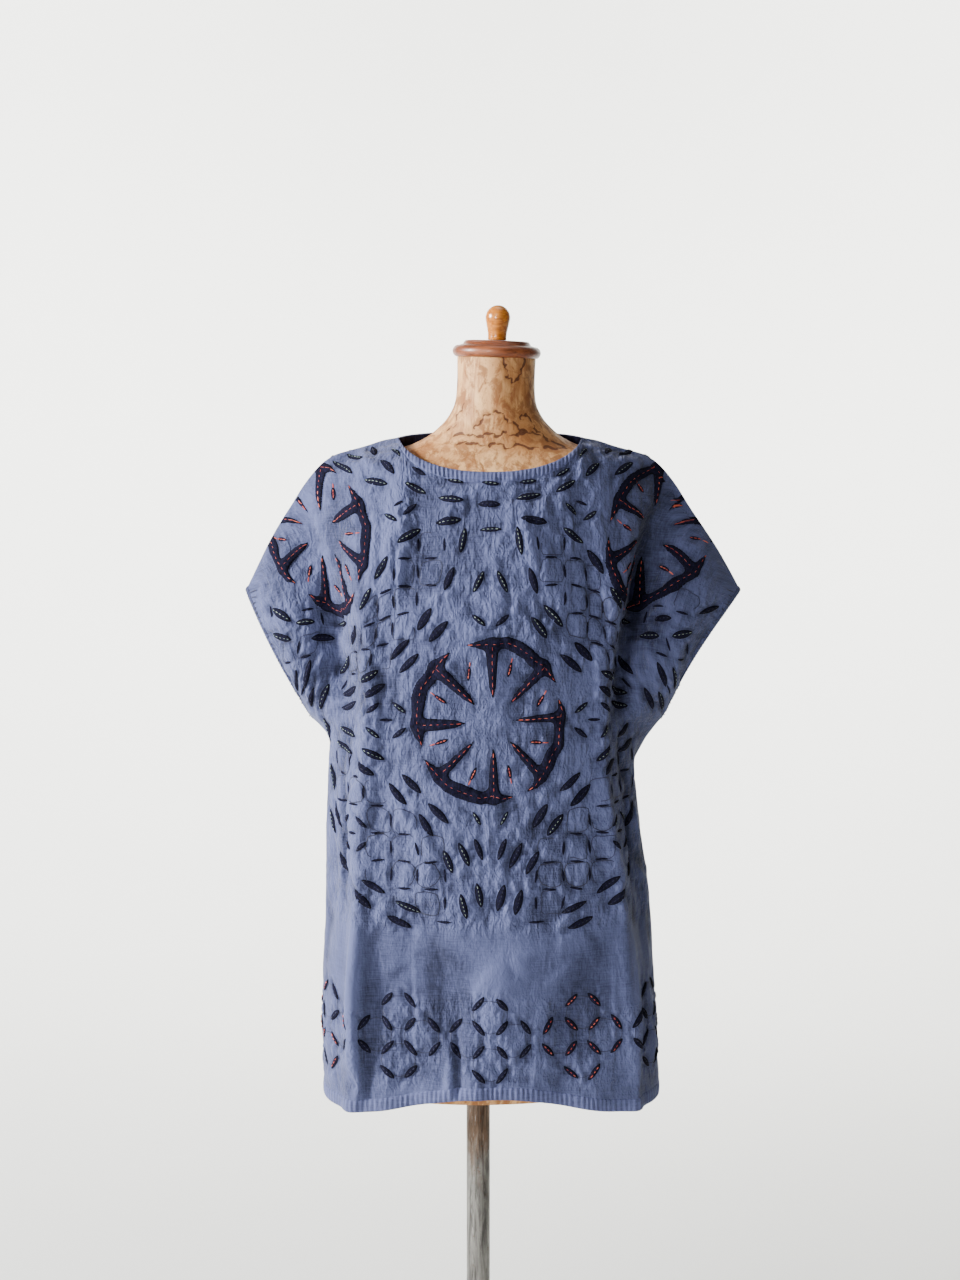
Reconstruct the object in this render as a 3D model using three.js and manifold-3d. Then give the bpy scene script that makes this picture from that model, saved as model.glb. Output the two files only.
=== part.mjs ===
// A cap-sleeved (French sleeve) cotton top, worn by a limbless dress form on a round stand.
// Units are millimetres. +Z is up, the front faces -Y, and the origin is on the floor under
// the middle of the garment. The top is cut in two panels, front and back, each with its
// cap sleeves in one with the body. They meet in the plane y = 0, at the shoulders and sides.
import * as THREE from "three";
import Module from "manifold-3d";

const wasm = await Module();
wasm.setup();

// ---------------------------------------------------------------- driving sizes
const MIDDLE_X = -3.3; // the garment's middle: its sleeve tips are equally far from x = 0
const SEAM_GAP = 0.3;
const CLOTH = 1.2; // wall of puckered cloth with its backing
const FORM_CLEARANCE = 4.5; // from the form to the cloth's outer face
const UNDERARM_Z = 1048;
const HEM_SIDE_Z = 645;
const HEM_RISE = { front: 20, back: 8 }; // how much higher the hem is at its middle
const SHOULDER_POINT = { x: 96, z: 1344.5 }; // where neckline and shoulder seam meet
const NECK_SHARE = 0.36; // share of the panel's top edge that is neckline
const NECK = {
  front: { depth: 60, drop: 33 }, // middle of the neckline: forward of, and below, its ends
  back: { depth: 54, drop: -5 },
};
const NECK_STRAIGHTNESS = 0.3; // 0 is an oval neckline, 1 runs straight in to the shoulder point
const BAND_WIDTH = { neck: 11, hem: 15 };
const BAND_CLOTH = 0.9;
const BAND_LIFT = 0.6;
const GATHERS_PER_COLUMN = { neck: 2, hem: 1.5 }; // stitch puckers: 64 at the neck, 120 at the hem
const GATHER_RISE = 0.45;
const SHORTEST_EDGE = 0.1; // in the cut-work, where solids are cut from each other
const SLEEVE_BULGE = { front: 34, back: 38 }; // how far an armhole edge stands off y = 0
// Rows and columns of a panel. The neck's columns span the neckline, the rest is shared by
// the two shoulders. One more row lies at the top of the hem, and one below the neck band.
const PANEL_GRID = { neckColumns: 16, shoulderColumns: 12, lowerRows: 6, upperRows: 14 };

// Half widths and depths of the hanging body, from hem to underarm.
const BODY = [
  { z: 640, left: 178, right: 182, front: 108, back: 112 },
  { z: 700, left: 179, right: 180, front: 108, back: 111 },
  { z: 780, left: 178, right: 175, front: 109, back: 109 },
  { z: 860, left: 175, right: 170, front: 111, back: 107 },
  { z: 930, left: 174, right: 160, front: 113, back: 105 },
  { z: 980, left: 172, right: 153, front: 115, back: 104 },
  { z: 1030, left: 169, right: 150, front: 117, back: 104 },
  { z: 1080, left: 169, right: 150, front: 118, back: 104 },
];
const BODY_SQUARENESS = 2.7; // superellipse exponent of the body's section

// The shoulder seam and sleeve top, from the shoulder point out to the sleeve tip.
const SHOULDER = [
  { x: 96, z: 1344.5 },
  { x: 112, z: 1341.5 },
  { x: 129, z: 1336 },
  { x: 147, z: 1331 },
  { x: 163, z: 1326 },
  { x: 178, z: 1315.5 },
  { x: 195, z: 1295 },
  { x: 209, z: 1273 },
  { x: 223, z: 1252 },
  { x: 236, z: 1231 },
  { x: 248, z: 1209 },
  { x: 261, z: 1184 },
];
const SLEEVES = {
  left: { tip: 257.5, hollow: 0, flare: 19, flareFrom: 1028 },
  right: { tip: 264, hollow: 10, flare: 32, flareFrom: 1000 },
}; // tip: how far out it is. hollow: of its edge. flare: of the side seam up to the underarm.

// Long soft folds. share runs from -1, the left seam, to 1, the right seam; low and high
// are heights where the fold fades out; rise is negative for a valley.
const FOLDS = {
  front: [
    { hemShare: -0.6, topShare: -0.48, width: 0.05, low: 560, high: 1290, rise: 9 },
    { hemShare: -0.33, topShare: -0.3, width: 0.11, low: 560, high: 960, rise: -8 },
    { hemShare: -0.06, topShare: -0.07, width: 0.04, low: 590, high: 800, rise: 3.5 },
    { hemShare: 0.3, topShare: 0.2, width: 0.1, low: 560, high: 880, rise: -5 },
    { hemShare: 0.62, topShare: 0.5, width: 0.045, low: 560, high: 1290, rise: 9 },
    { hemShare: 0.78, topShare: 0.68, width: 0.06, low: 760, high: 1080, rise: -7 },
    { hemShare: -0.8, topShare: -0.72, width: 0.06, low: 780, high: 1060, rise: -6 },
  ],
  back: [
    { hemShare: -0.62, topShare: -0.5, width: 0.06, low: 560, high: 1180, rise: 9 },
    { hemShare: -0.3, topShare: -0.25, width: 0.1, low: 560, high: 1060, rise: -9 },
    { hemShare: 0.03, topShare: 0.02, width: 0.09, low: 560, high: 1000, rise: 8 },
    { hemShare: 0.33, topShare: 0.27, width: 0.1, low: 560, high: 1080, rise: -9 },
    { hemShare: 0.63, topShare: 0.52, width: 0.06, low: 560, high: 1180, rise: 9 },
  ],
};

// The collapsed valley between body and sleeve, by share of the panel's width.
const ARMHOLE_FOLDS = [
  { side: "front", hand: "left", share: 0.7, width: 0.11, inward: 12, depth: 20 },
  { side: "front", hand: "right", share: 0.69, width: 0.095, inward: 15, depth: 30 },
  { side: "back", hand: "left", share: 0.7, width: 0.11, inward: 13, depth: 24 },
  { side: "back", hand: "right", share: 0.7, width: 0.11, inward: 13, depth: 22 },
];
const VALLEY_FLOOR = 0.3; // the least share of the cloth's depth that a valley leaves

// The dress form, by section: half width, depth in front and behind.
const FORM = [
  { z: 654, half: 158, front: 92, back: 95 },
  { z: 700, half: 162, front: 95, back: 101 },
  { z: 780, half: 156, front: 93, back: 96 },
  { z: 860, half: 140, front: 88, back: 84 },
  { z: 930, half: 127, front: 86, back: 77 },
  { z: 1000, half: 131, front: 97, back: 80 },
  { z: 1060, half: 138, front: 109, back: 86 },
  { z: 1100, half: 142, front: 113, back: 91 },
  { z: 1150, half: 145, front: 109, back: 96 },
  { z: 1200, half: 149, front: 100, back: 98 },
  { z: 1250, half: 157, front: 87, back: 94 },
  { z: 1280, half: 161, front: 77, back: 86 },
  { z: 1300, half: 160, front: 69, back: 77 },
  { z: 1316, half: 152, front: 61, back: 66 },
  { z: 1324, half: 134, front: 55, back: 58 },
  { z: 1331, half: 111, front: 50, back: 52 },
  { z: 1336, half: 90, front: 47, back: 49 },
  { z: 1345, half: 71, front: 44, back: 46 },
  { z: 1356, half: 57.5, front: 42, back: 43 },
  { z: 1366, half: 49, front: 41, back: 42 },
  { z: 1380, half: 42.5, front: 40.5, back: 41.5 },
  { z: 1402, half: 40.5, front: 40, back: 40 },
  { z: 1429, half: 41, front: 41, back: 41 },
];
const FORM_SIDES = 28;
// The old form leans a little on its pole, so its middle moves to +X with height.
const LEAN = { lowZ: 654, lowX: -12.4, highZ: 1429, highX: 6.8 };

const POLE = { radius: 12.7, sides: 24 };
const BASE = { radius: 172, rim: 9, dome: 20, collarRadius: 24, collarTop: 62 };
const CAP = { radius: 46, rim: 8.5, stepRadius: 34, stepHeight: 5, tilt: -0.035, sides: 28 };
const KNOB = { neckRadius: 9.8, headRadius: 13, height: 36, sides: 24 };

// Cut-work wheels of four hooks each, on the front. share is the middle's place across the
// panel and above its length of cloth from the underarm line. perShare is the pattern's width
// over one share, which the folds at the sleeves take up, and stretch its height over its
// width in the cloth. Angles are in degrees. Hooks that
// would run over a shoulder seam end there or, where little of them is in front, are left out.
const WHEELS = [
  { name: "centre", share: 0.012, above: 14, perShare: 243, stretch: 1, turn: 0, hooks: [0, 1, 2, 3] },
  { name: "left", share: -0.66, above: 209, perShare: 432, stretch: 1.08, turn: 22.5, hooks: [0, 3] },
  { name: "right", share: 0.655, above: 213, perShare: 436, stretch: 1.08, turn: -22.5, hooks: [0, 2, 3] },
];
const HOOK = {
  rimRadius: 79,
  arc: [-62, 17], // where the rim starts and ends
  rimSteps: 8,
  spokes: [-45, 0],
  spokeInner: 27,
  rimHalfWidth: 5.5,
  spokeHalfWidth: 6.5,
  lift: 0.5,
  thickness: 0.9,
  cutter: { over: 4.5, under: 2.5 },
  seamMargin: 12, // kept clear below a shoulder seam
};

// ---------------------------------------------------------------- small helpers
const { lerp, smoothstep, degToRad } = THREE.MathUtils;

/** Value of a table's column at `at`, with a smooth curve through its rows. */
function lookUp(table, key, column, at) {
  const last = table.length - 1;
  let i = table.findIndex((row) => row[key] > at) - 1;
  if (i === -2) i = last - 1;
  i = Math.max(i, 0);
  const row = (n) => table[Math.min(Math.max(n, 0), last)];
  const [a, b, c, d] = [row(i - 1), row(i), row(i + 1), row(i + 2)];
  const span = c[key] - b[key];
  const t = Math.min(Math.max((at - b[key]) / span, 0), 1);
  const slope = (from, to) =>
    to[key] === from[key] ? 0 : ((to[column] - from[column]) / (to[key] - from[key])) * span;
  const [m0, m1] = [slope(a, c), slope(b, d)];
  const t2 = t * t;
  const t3 = t2 * t;
  return (
    (2 * t3 - 3 * t2 + 1) * b[column] +
    (t3 - 2 * t2 + t) * m0 +
    (3 * t2 - 2 * t3) * c[column] +
    (t3 - t2) * m1
  );
}

const bell = (distance, width) => Math.exp(-((distance / width) ** 2));

/** A curve in two coordinates, read by the share of its length. */
function evenCurve(pointAt, steps = 120) {
  const rows = [{ share: 0, length: 0, ...pointAt(0) }];
  for (let i = 1; i <= steps; i++) {
    const point = pointAt(i / steps);
    const before = rows[i - 1];
    rows.push({ ...point, length: before.length + Math.hypot(point.a - before.a, point.b - before.b) });
  }
  const total = rows[steps].length;
  rows.forEach((row) => (row.share = row.length / total));
  return (share) => {
    const i = Math.max(1, rows.findIndex((row) => row.share >= share - 1e-9));
    const [p, q] = [rows[i - 1], rows[i]];
    const t = (share - p.share) / (q.share - p.share);
    return { a: lerp(p.a, q.a, t), b: lerp(p.b, q.b, t) };
  };
}

// A quarter of the body's section, from its middle (a 0, b 1) to its side (a 1, b 0).
const NOMINAL = { half: 166, depth: 112 };
const quarterEven = evenCurve((t) => {
  const angle = (t * Math.PI) / 2;
  const power = 2 / BODY_SQUARENESS;
  return {
    a: NOMINAL.half * Math.sin(angle) ** power,
    b: NOMINAL.depth * Math.max(Math.cos(angle), 0) ** power,
  };
});
function quarterSection(share) {
  const { a, b } = quarterEven(share);
  return { across: a / NOMINAL.half, forward: b / NOMINAL.depth };
}

// The shoulder line by share of its length: a is x, b is z.
const shoulderEven = evenCurve((t) => {
  const x = lerp(SHOULDER[0].x, SHOULDER.at(-1).x, t);
  return { a: x, b: lookUp(SHOULDER, "x", "z", x) };
});

// ---------------------------------------------------------------- the form's surface
const leanX = (z) =>
  lerp(LEAN.lowX, LEAN.highX, (z - LEAN.lowZ) / (LEAN.highZ - LEAN.lowZ));

/** How far the form, grown sideways and upwards by the cloth's clearance, reaches from y = 0. */
function formReach(side, x, z) {
  const formZ = z - FORM_CLEARANCE;
  if (z > SHOULDER_POINT.z) return 0;
  const half = lookUp(FORM, "z", "half", formZ) + FORM_CLEARANCE;
  const depth = lookUp(FORM, "z", side, formZ) + FORM_CLEARANCE;
  const across = (x - leanX(formZ)) / half;
  return Math.abs(across) < 1 ? depth * Math.sqrt(1 - across * across) : 0;
}

// ---------------------------------------------------------------- the cloth's surface
/** The finished top edge of a panel: neckline, then shoulder seam, for share 0 to 1. */
function topEdge(side, hand, share) {
  if (share >= NECK_SHARE) {
    const { a, b } = shoulderEven((share - NECK_SHARE) / (1 - NECK_SHARE));
    const end = SHOULDER.at(-1).x;
    return { x: a + (SLEEVES[hand].tip - end) * smoothstep(a, end - 50, end), depth: 0, z: b };
  }
  const along = share / NECK_SHARE;
  const angle = (along * Math.PI) / 2;
  const { depth, drop } = NECK[side];
  return {
    x: SHOULDER_POINT.x * lerp(Math.sin(angle) ** 0.85, along, NECK_STRAIGHTNESS),
    depth: depth * Math.cos(angle) ** 0.85,
    z: SHOULDER_POINT.z - drop * Math.cos(angle),
  };
}

function foldRise(side, share, z) {
  return FOLDS[side].reduce((sum, fold) => {
    const t = (z - HEM_SIDE_Z) / (SHOULDER_POINT.z - HEM_SIDE_Z);
    const middle = lerp(fold.hemShare, fold.topShare, t);
    const fade = smoothstep(z, fold.low, fold.low + 90) * (1 - smoothstep(z, fold.high - 160, fold.high));
    return sum + fold.rise * fade * bell(share - middle, fold.width);
  }, 0);
}

/** Smooth version of the larger of two reaches. */
const softMax = (a, b, softness) => (a + b + Math.sqrt((a - b) ** 2 + softness ** 2)) / 2;

/**
 * Outer face of a panel before its folds. share runs from -1 (left) to 1 (right). climb
 * runs from -1 at the hem, through 0 at the underarm, to 1 at the neckline and shoulder.
 */
function clothPoint(side, share, climb) {
  const out = Math.abs(share);
  const hand = share < 0 ? "left" : "right";
  const section = quarterSection(out);
  const { hollow, flare, flareFrom } = SLEEVES[hand];
  const hemZ = HEM_SIDE_Z + HEM_RISE[side] * (1 - smoothstep(out, 0.05, 0.6));
  const top = topEdge(side, hand, out);
  const up = Math.max(climb, 0);
  const z = climb < 0 ? lerp(UNDERARM_Z, hemZ, -climb) : lerp(UNDERARM_Z, top.z, up);
  const bodyZ = Math.min(z, UNDERARM_Z);

  // across the panel
  const flared = (Math.max(bodyZ - flareFrom, 0) / (UNDERARM_Z - flareFrom)) ** 1.3;
  const bodyX = lookUp(BODY, "z", hand, bodyZ) * section.across + flare * flared * smoothstep(out, 0.76, 1);
  const valley = ARMHOLE_FOLDS.find((row) => row.side === side && row.hand === hand);
  const middle = Math.sin(Math.PI * up);
  const sunk = bell(out - valley.share, valley.width) * middle ** 0.8;
  const outward = lerp(1.5, 1, smoothstep(out, 0.5, 0.95));
  let x = lerp(bodyX, top.x, up ** outward) - valley.inward * sunk;
  x -= hollow * middle * smoothstep(out, 0.8, 1);
  x *= share < 0 ? -1 : 1;

  // forward or back from the seams' plane
  const hang = lookUp(BODY, "z", side, bodyZ) * section.forward;
  const tent = top.depth + (hang - top.depth) * (1 - up ** 2.6) ** 0.8;
  const sleeve = SLEEVE_BULGE[side] * middle ** 0.75 * smoothstep(out, 0.66, 0.92);
  const full = Math.max(tent + sleeve, 0);
  const free = Math.max(full - valley.depth * sunk, full * VALLEY_FLOOR);
  const softness = Math.min(7, free / 4, (1 - up) * 56);
  const reach = softMax(free, formReach(side, x, z), softness);
  return new THREE.Vector3(x, side === "front" ? -reach : reach, z);
}

/** A column of a panel above the underarm, read by the length of cloth from there. */
function columnAbove(side, share) {
  const points = spread(120, (t) => clothPoint(side, share, t));
  const lengths = [0];
  points.slice(1).forEach((point, i) => lengths.push(lengths[i] + point.distanceTo(points[i])));
  const length = lengths.at(-1);
  const at = (distance) => {
    const i = Math.max(1, lengths.findIndex((value) => value >= distance - 1e-9));
    const t = (distance - lengths[i - 1]) / (lengths[i] - lengths[i - 1]);
    return points[i - 1].clone().lerp(points[i], t);
  };
  return { length, at };
}

// ---------------------------------------------------------------- grids of cloth points
const spread = (count, valueAt) => Array.from({ length: count + 1 }, (_, i) => valueAt(i / count));

const panelShares = [
  ...spread(PANEL_GRID.shoulderColumns, (t) => lerp(-1, -NECK_SHARE, t)),
  ...spread(PANEL_GRID.neckColumns, (t) => lerp(-NECK_SHARE, NECK_SHARE, t)).slice(1, -1),
  ...spread(PANEL_GRID.shoulderColumns, (t) => lerp(NECK_SHARE, 1, t)),
];

const hemClimb = -1 + BAND_WIDTH.hem / (UNDERARM_Z - HEM_SIDE_Z);
const lowerClimbs = [
  -1,
  ...spread(PANEL_GRID.lowerRows, (t) => lerp(hemClimb, 0, 1 - (1 - t) ** 1.4)).slice(0, -1),
];

/** Points of a panel, [row][column], from hem to top; lengths above the underarm with them. */
function panelPoints(side) {
  const columns = panelShares.map((share) => columnAbove(side, share));
  const below = lowerClimbs.map((climb) => panelShares.map((share) => clothPoint(side, share, climb)));
  const above = spread(PANEL_GRID.upperRows, (t) =>
    columns.map(({ length, at }) => at((1 - (1 - t) ** 1.25) * (length - BAND_WIDTH.neck))),
  );
  const edge = columns.map(({ length, at }) => at(length));
  return [...below, ...above, edge];
}

/** Outward directions at a grid's points; at the seams they stay in the plane y = 0. */
function gridNormals(side, points) {
  const lastRow = points.length - 1;
  const lastColumn = points[0].length - 1;
  const outward = side === "front" ? 1 : -1;
  const normals = points.map((row) => row.map(() => new THREE.Vector3()));
  for (let j = 0; j < lastRow; j++)
    for (let i = 0; i < lastColumn; i++) {
      const corners = [[j, i], [j, i + 1], [j + 1, i + 1], [j + 1, i]];
      corners.forEach(([row, column], k) => {
        const here = points[row][column];
        const toNext = points[corners[(k + 1) % 4][0]][corners[(k + 1) % 4][1]].clone().sub(here);
        const toBefore = points[corners[(k + 3) % 4][0]][corners[(k + 3) % 4][1]].clone().sub(here);
        const angle = toNext.angleTo(toBefore);
        normals[row][column].addScaledVector(toNext.cross(toBefore).normalize(), outward * angle);
      });
    }
  normals.forEach((row, j) =>
    row.forEach((normal, i) => {
      const sideSeam = (i === 0 || i === lastColumn) && j <= lowerClimbs.length;
      const shoulderSeam = j === lastRow && Math.abs(panelShares[i]) > NECK_SHARE - 1e-6;
      if (sideSeam || shoulderSeam) normal.y = 0;
      normal.normalize();
    }),
  );
  return normals;
}

/** The outer face of a panel with its folds, as a point and an outward direction. */
function panelFace(side) {
  const smooth = panelPoints(side);
  const outward = gridNormals(side, smooth);
  const folded = smooth.map((row, j) =>
    row.map((point, i) => {
      const fade = 1 - smoothstep(j, smooth.length - 7, smooth.length - 2);
      const rise = foldRise(side, panelShares[i], point.z) * fade;
      const moved = point.clone().addScaledVector(outward[j][i], rise);
      const seam = side === "front" ? -SEAM_GAP / 2 : SEAM_GAP / 2;
      moved.y = side === "front" ? Math.min(moved.y, seam) : Math.max(moved.y, seam);
      return moved;
    }),
  );
  const normals = gridNormals(side, folded);
  return folded.map((row, j) => row.map((point, i) => ({ point, normal: normals[j][i] })));
}
const FACES = { front: panelFace("front"), back: panelFace("back") };

const mix = (a, b, t) => ({
  point: a.point.clone().lerp(b.point, t),
  normal: a.normal.clone().lerp(b.normal, t).normalize(),
});
const offset = ({ point, normal }, distance) => point.clone().addScaledVector(normal, distance);

/** Where a panel's faceted face is, at a share and a length of cloth above the underarm. */
function onPanel(side, share, above) {
  const face = FACES[side];
  const start = lowerClimbs.length;
  const cell = (values, at) => {
    const i = Math.min(Math.max(values.findIndex((v) => v > at) - 1, 0), values.length - 2);
    return { i, t: (at - values[i]) / (values[i + 1] - values[i]) };
  };
  const column = cell(panelShares, share);
  const line = face.map((row) => mix(row[column.i], row[column.i + 1], column.t));
  const heights = [0];
  for (let j = start - 1; j >= 0; j--)
    heights.unshift(heights[0] - line[j].point.distanceTo(line[j + 1].point));
  for (let j = start + 1; j < line.length; j++)
    heights.push(heights.at(-1) + line[j].point.distanceTo(line[j - 1].point));
  const row = cell(heights, above);
  return mix(line[row.i], line[row.i + 1], row.t);
}

// ---------------------------------------------------------------- walls from grids
/** A closed wall between an outer and an inner grid of points, [row][column]. */
function wallGeometry(outer, inner) {
  const rows = outer.length;
  const columns = outer[0].length;
  const positions = [...outer.flat(), ...inner.flat()].flatMap((p) => p.toArray());
  const index = [];
  const out = (j, i) => j * columns + i;
  const inn = (j, i) => rows * columns + out(j, i);
  const quad = (a, b, c, d) => index.push(a, b, c, a, c, d);
  for (let j = 0; j < rows - 1; j++)
    for (let i = 0; i < columns - 1; i++) {
      const corners = [[j, i], [j, i + 1], [j + 1, i + 1], [j + 1, i]];
      if (i < (columns - 1) / 2) corners.push(corners.shift()); // diagonals mirror in the middle
      quad(...corners.map(([row, column]) => out(row, column)));
      const [a, b, c, d] = corners.map(([row, column]) => inn(row, column));
      quad(a, d, c, b);
    }
  for (let i = 0; i < columns - 1; i++) {
    quad(out(0, i + 1), out(0, i), inn(0, i), inn(0, i + 1));
    quad(out(rows - 1, i), out(rows - 1, i + 1), inn(rows - 1, i + 1), inn(rows - 1, i));
  }
  for (let j = 0; j < rows - 1; j++) {
    quad(out(j, 0), out(j + 1, 0), inn(j + 1, 0), inn(j, 0));
    quad(out(j + 1, columns - 1), out(j, columns - 1), inn(j, columns - 1), inn(j + 1, columns - 1));
  }
  const geometry = new THREE.BufferGeometry();
  geometry.setAttribute("position", new THREE.Float32BufferAttribute(positions, 3));
  geometry.setIndex(index);
  return geometry;
}

// ---------------------------------------------------------------- cloth pieces
/** A wall between two offsets from a grid of face points; offsets may vary by column. */
function offsetWall(side, face, outerBy, innerBy) {
  const outer = face.map((row) => row.map((place, i) => offset(place, outerBy(i))));
  const inner = face.map((row) => row.map((place) => offset(place, innerBy)));
  return side === "front" ? wallGeometry(outer, inner) : wallGeometry(inner, outer);
}

const panel = (side) => offsetWall(side, FACES[side], () => 0, -CLOTH);

/** A puckered band over two rows of a panel, with `steps` columns to each of the panel's. */
function band(side, rows, steps) {
  const face = rows.map((row) =>
    row.slice(0, -1).flatMap((place, i) => spread(steps, (t) => mix(place, row[i + 1], t)).slice(i ? 1 : 0)),
  );
  const rise = (i) => (i % 2 === 1 ? GATHER_RISE : 0);
  return offsetWall(side, face, (i) => BAND_LIFT + BAND_CLOTH + rise(i), BAND_LIFT);
}

const hemBand = (side) => band(side, FACES[side].slice(0, 2), GATHERS_PER_COLUMN.hem * 2);

function neckBand(side) {
  const { shoulderColumns, neckColumns } = PANEL_GRID;
  const rows = FACES[side].slice(-2);
  const neckPart = rows.map((row) => row.slice(shoulderColumns, shoulderColumns + neckColumns + 1));
  return band(side, neckPart, GATHERS_PER_COLUMN.neck * 2);
}

// ---------------------------------------------------------------- cut-work wheels
function toManifold(geometry) {
  return new wasm.Manifold(
    new wasm.Mesh({
      numProp: 3,
      vertProperties: geometry.getAttribute("position").array,
      triVerts: new Uint32Array(geometry.index.array),
    }),
  );
}

/** Back to a geometry, with the ends joined of edges that the cuts left shorter than SHORTEST_EDGE. */
function fromManifold(solid) {
  const { vertProperties, triVerts } = solid.getMesh();
  const position = new THREE.Float32BufferAttribute(vertProperties, 3);
  const point = (i) => new THREE.Vector3().fromBufferAttribute(position, i);
  const joined = new Map();
  const kept = (i) => (joined.has(i) ? kept(joined.get(i)) : i);
  const triangles = Array.from({ length: triVerts.length / 3 }, (_, n) => n);
  triangles.forEach((n) => {
    for (const [a, b] of [[0, 1], [1, 2], [2, 0]]) {
      const [from, to] = [kept(triVerts[n * 3 + a]), kept(triVerts[n * 3 + b])];
      if (from !== to && point(from).distanceTo(point(to)) < SHORTEST_EDGE) joined.set(from, to);
    }
  });
  const geometry = new THREE.BufferGeometry();
  geometry.setAttribute("position", position);
  const corners = triangles.map((n) => [0, 1, 2].map((k) => kept(triVerts[n * 3 + k])));
  geometry.setIndex(corners.filter((abc) => new Set(abc).size === 3).flat());
  return geometry;
}

/** A cutter right through the cut-work's layer, for a ribbon: its centre points and half widths. */
function ribbonCutter(wheel, line) {
  const rows = line.map(({ x, y, half }, i) => {
    const before = line[Math.max(i - 1, 0)];
    const after = line[Math.min(i + 1, line.length - 1)];
    const along = new THREE.Vector2(after.x - before.x, after.y - before.y).normalize();
    return [-1, 1].map((edge) => {
      const share = wheel.share + (x + along.y * half * edge) / wheel.perShare;
      return onPanel("front", share, wheel.above + (y - along.x * half * edge) * wheel.stretch);
    });
  });
  const { over, under } = HOOK.cutter;
  return toManifold(offsetWall("front", rows, () => over, -under));
}

const inlayLayer = toManifold(offsetWall("front", FACES.front, () => HOOK.lift + HOOK.thickness, HOOK.lift));

/** One hook: a curved rim with pointed ends and two spokes that taper to the centre. */
function wheelHook(wheel, turn) {
  const [start, end] = HOOK.arc;
  const polar = (degrees, radius) => ({
    x: radius * Math.cos(degToRad(degrees + turn)),
    y: radius * Math.sin(degToRad(degrees + turn)),
  });
  const inFront = ({ x, y }) =>
    wheel.above + y * wheel.stretch <
    columnAbove("front", wheel.share + x / wheel.perShare).length - HOOK.seamMargin;
  const rim = spread(HOOK.rimSteps, (t) => ({
    ...polar(lerp(start, end, t), HOOK.rimRadius),
    half: HOOK.rimHalfWidth * Math.max(Math.sin(Math.PI * t) ** 0.5, 0.12),
  })).filter(inFront);
  const spokes = HOOK.spokes.map((degrees) =>
    spread(2, (t) => ({
      ...polar(degrees, lerp(HOOK.spokeInner, HOOK.rimRadius, t)),
      half: lerp(1, HOOK.spokeHalfWidth, t),
    })),
  );
  const cutters = [rim, ...spokes].map((line) => ribbonCutter(wheel, line));
  const pieces = inlayLayer.intersect(cutters.reduce((joined, cutter) => joined.add(cutter))).decompose();
  return fromManifold(pieces.sort((a, b) => b.volume() - a.volume())[0]);
}

// ---------------------------------------------------------------- form and stand
function formBody() {
  const sections = [];
  const last = FORM.length - 1;
  FORM.forEach((row, i) => {
    sections.push(row.z);
    if (i < last && FORM[i + 1].z - row.z > 45) sections.push((row.z + FORM[i + 1].z) / 2);
  });
  const positions = [];
  sections.forEach((z) => {
    const half = lookUp(FORM, "z", "half", z);
    for (let k = 0; k < FORM_SIDES; k++) {
      const angle = (k / FORM_SIDES) * 2 * Math.PI;
      const depth = lookUp(FORM, "z", Math.sin(angle) < 0 ? "front" : "back", z);
      positions.push(leanX(z) + half * Math.cos(angle), depth * Math.sin(angle), z);
    }
  });
  const index = [];
  for (let j = 0; j < sections.length - 1; j++)
    for (let k = 0; k < FORM_SIDES; k++) {
      const [a, b] = [j * FORM_SIDES + k, j * FORM_SIDES + ((k + 1) % FORM_SIDES)];
      index.push(a, b, b + FORM_SIDES, a, b + FORM_SIDES, a + FORM_SIDES);
    }
  const topStart = (sections.length - 1) * FORM_SIDES;
  for (let k = 1; k < FORM_SIDES - 1; k++) {
    index.push(0, k + 1, k);
    index.push(topStart, topStart + k, topStart + k + 1);
  }
  const geometry = new THREE.BufferGeometry();
  geometry.setAttribute("position", new THREE.Float32BufferAttribute(positions, 3));
  geometry.setIndex(index);
  return geometry;
}

/** A turned piece with its axis along +Z. Profile points are [radius, height]. */
function turned(profile, sides) {
  const points = profile.map(([radius, height]) => new THREE.Vector2(radius, height));
  return new THREE.LatheGeometry(points, sides).rotateX(Math.PI / 2);
}

function arcPoints(centreRadius, centreHeight, radius, fromDegrees, toDegrees, steps) {
  return spread(steps, (t) => {
    const angle = degToRad(lerp(fromDegrees, toDegrees, t));
    return [centreRadius + radius * Math.cos(angle), centreHeight + radius * Math.sin(angle)];
  });
}

function neckCap() {
  const { radius, rim, stepRadius, stepHeight, sides } = CAP;
  const round = rim / 2;
  return turned(
    [
      [0, 0],
      [radius - 2, 0],
      ...arcPoints(radius - round, round, round, -60, 90, 5),
      [stepRadius + 3, rim + 0.6],
      [stepRadius + 1, rim + stepHeight * 0.4],
      ...arcPoints(stepRadius - 2, rim + stepHeight - 2, 2, 0, 90, 2),
      [KNOB.neckRadius + 6, rim + stepHeight + 0.8],
      [0, rim + stepHeight + 0.8],
    ],
    sides,
  );
}

function knob() {
  const { neckRadius, headRadius, height, sides } = KNOB;
  const headCentre = height - headRadius;
  return turned(
    [
      [0, 0],
      [neckRadius, 0],
      [neckRadius + 0.2, height * 0.12],
      [neckRadius + 0.9, height * 0.28],
      [lerp(neckRadius, headRadius, 0.72), height * 0.45],
      ...arcPoints(0, headCentre, headRadius, 0, 90, 6).slice(0, -1),
      [0, height],
    ],
    sides,
  );
}

function standBase() {
  const { radius, rim, dome, collarRadius, collarTop } = BASE;
  return turned(
    [
      [0, 0],
      [radius - 3, 0],
      [radius, 3],
      [radius, rim - 3],
      [radius - 3, rim],
      [radius * 0.6, rim + (dome - rim) * 0.55],
      [collarRadius + 14, dome],
      [collarRadius + 2, dome + 6],
      [collarRadius, dome + 14],
      [collarRadius, collarTop - 2],
      [collarRadius - 2, collarTop],
      [0, collarTop],
    ],
    32,
  );
}

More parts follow.
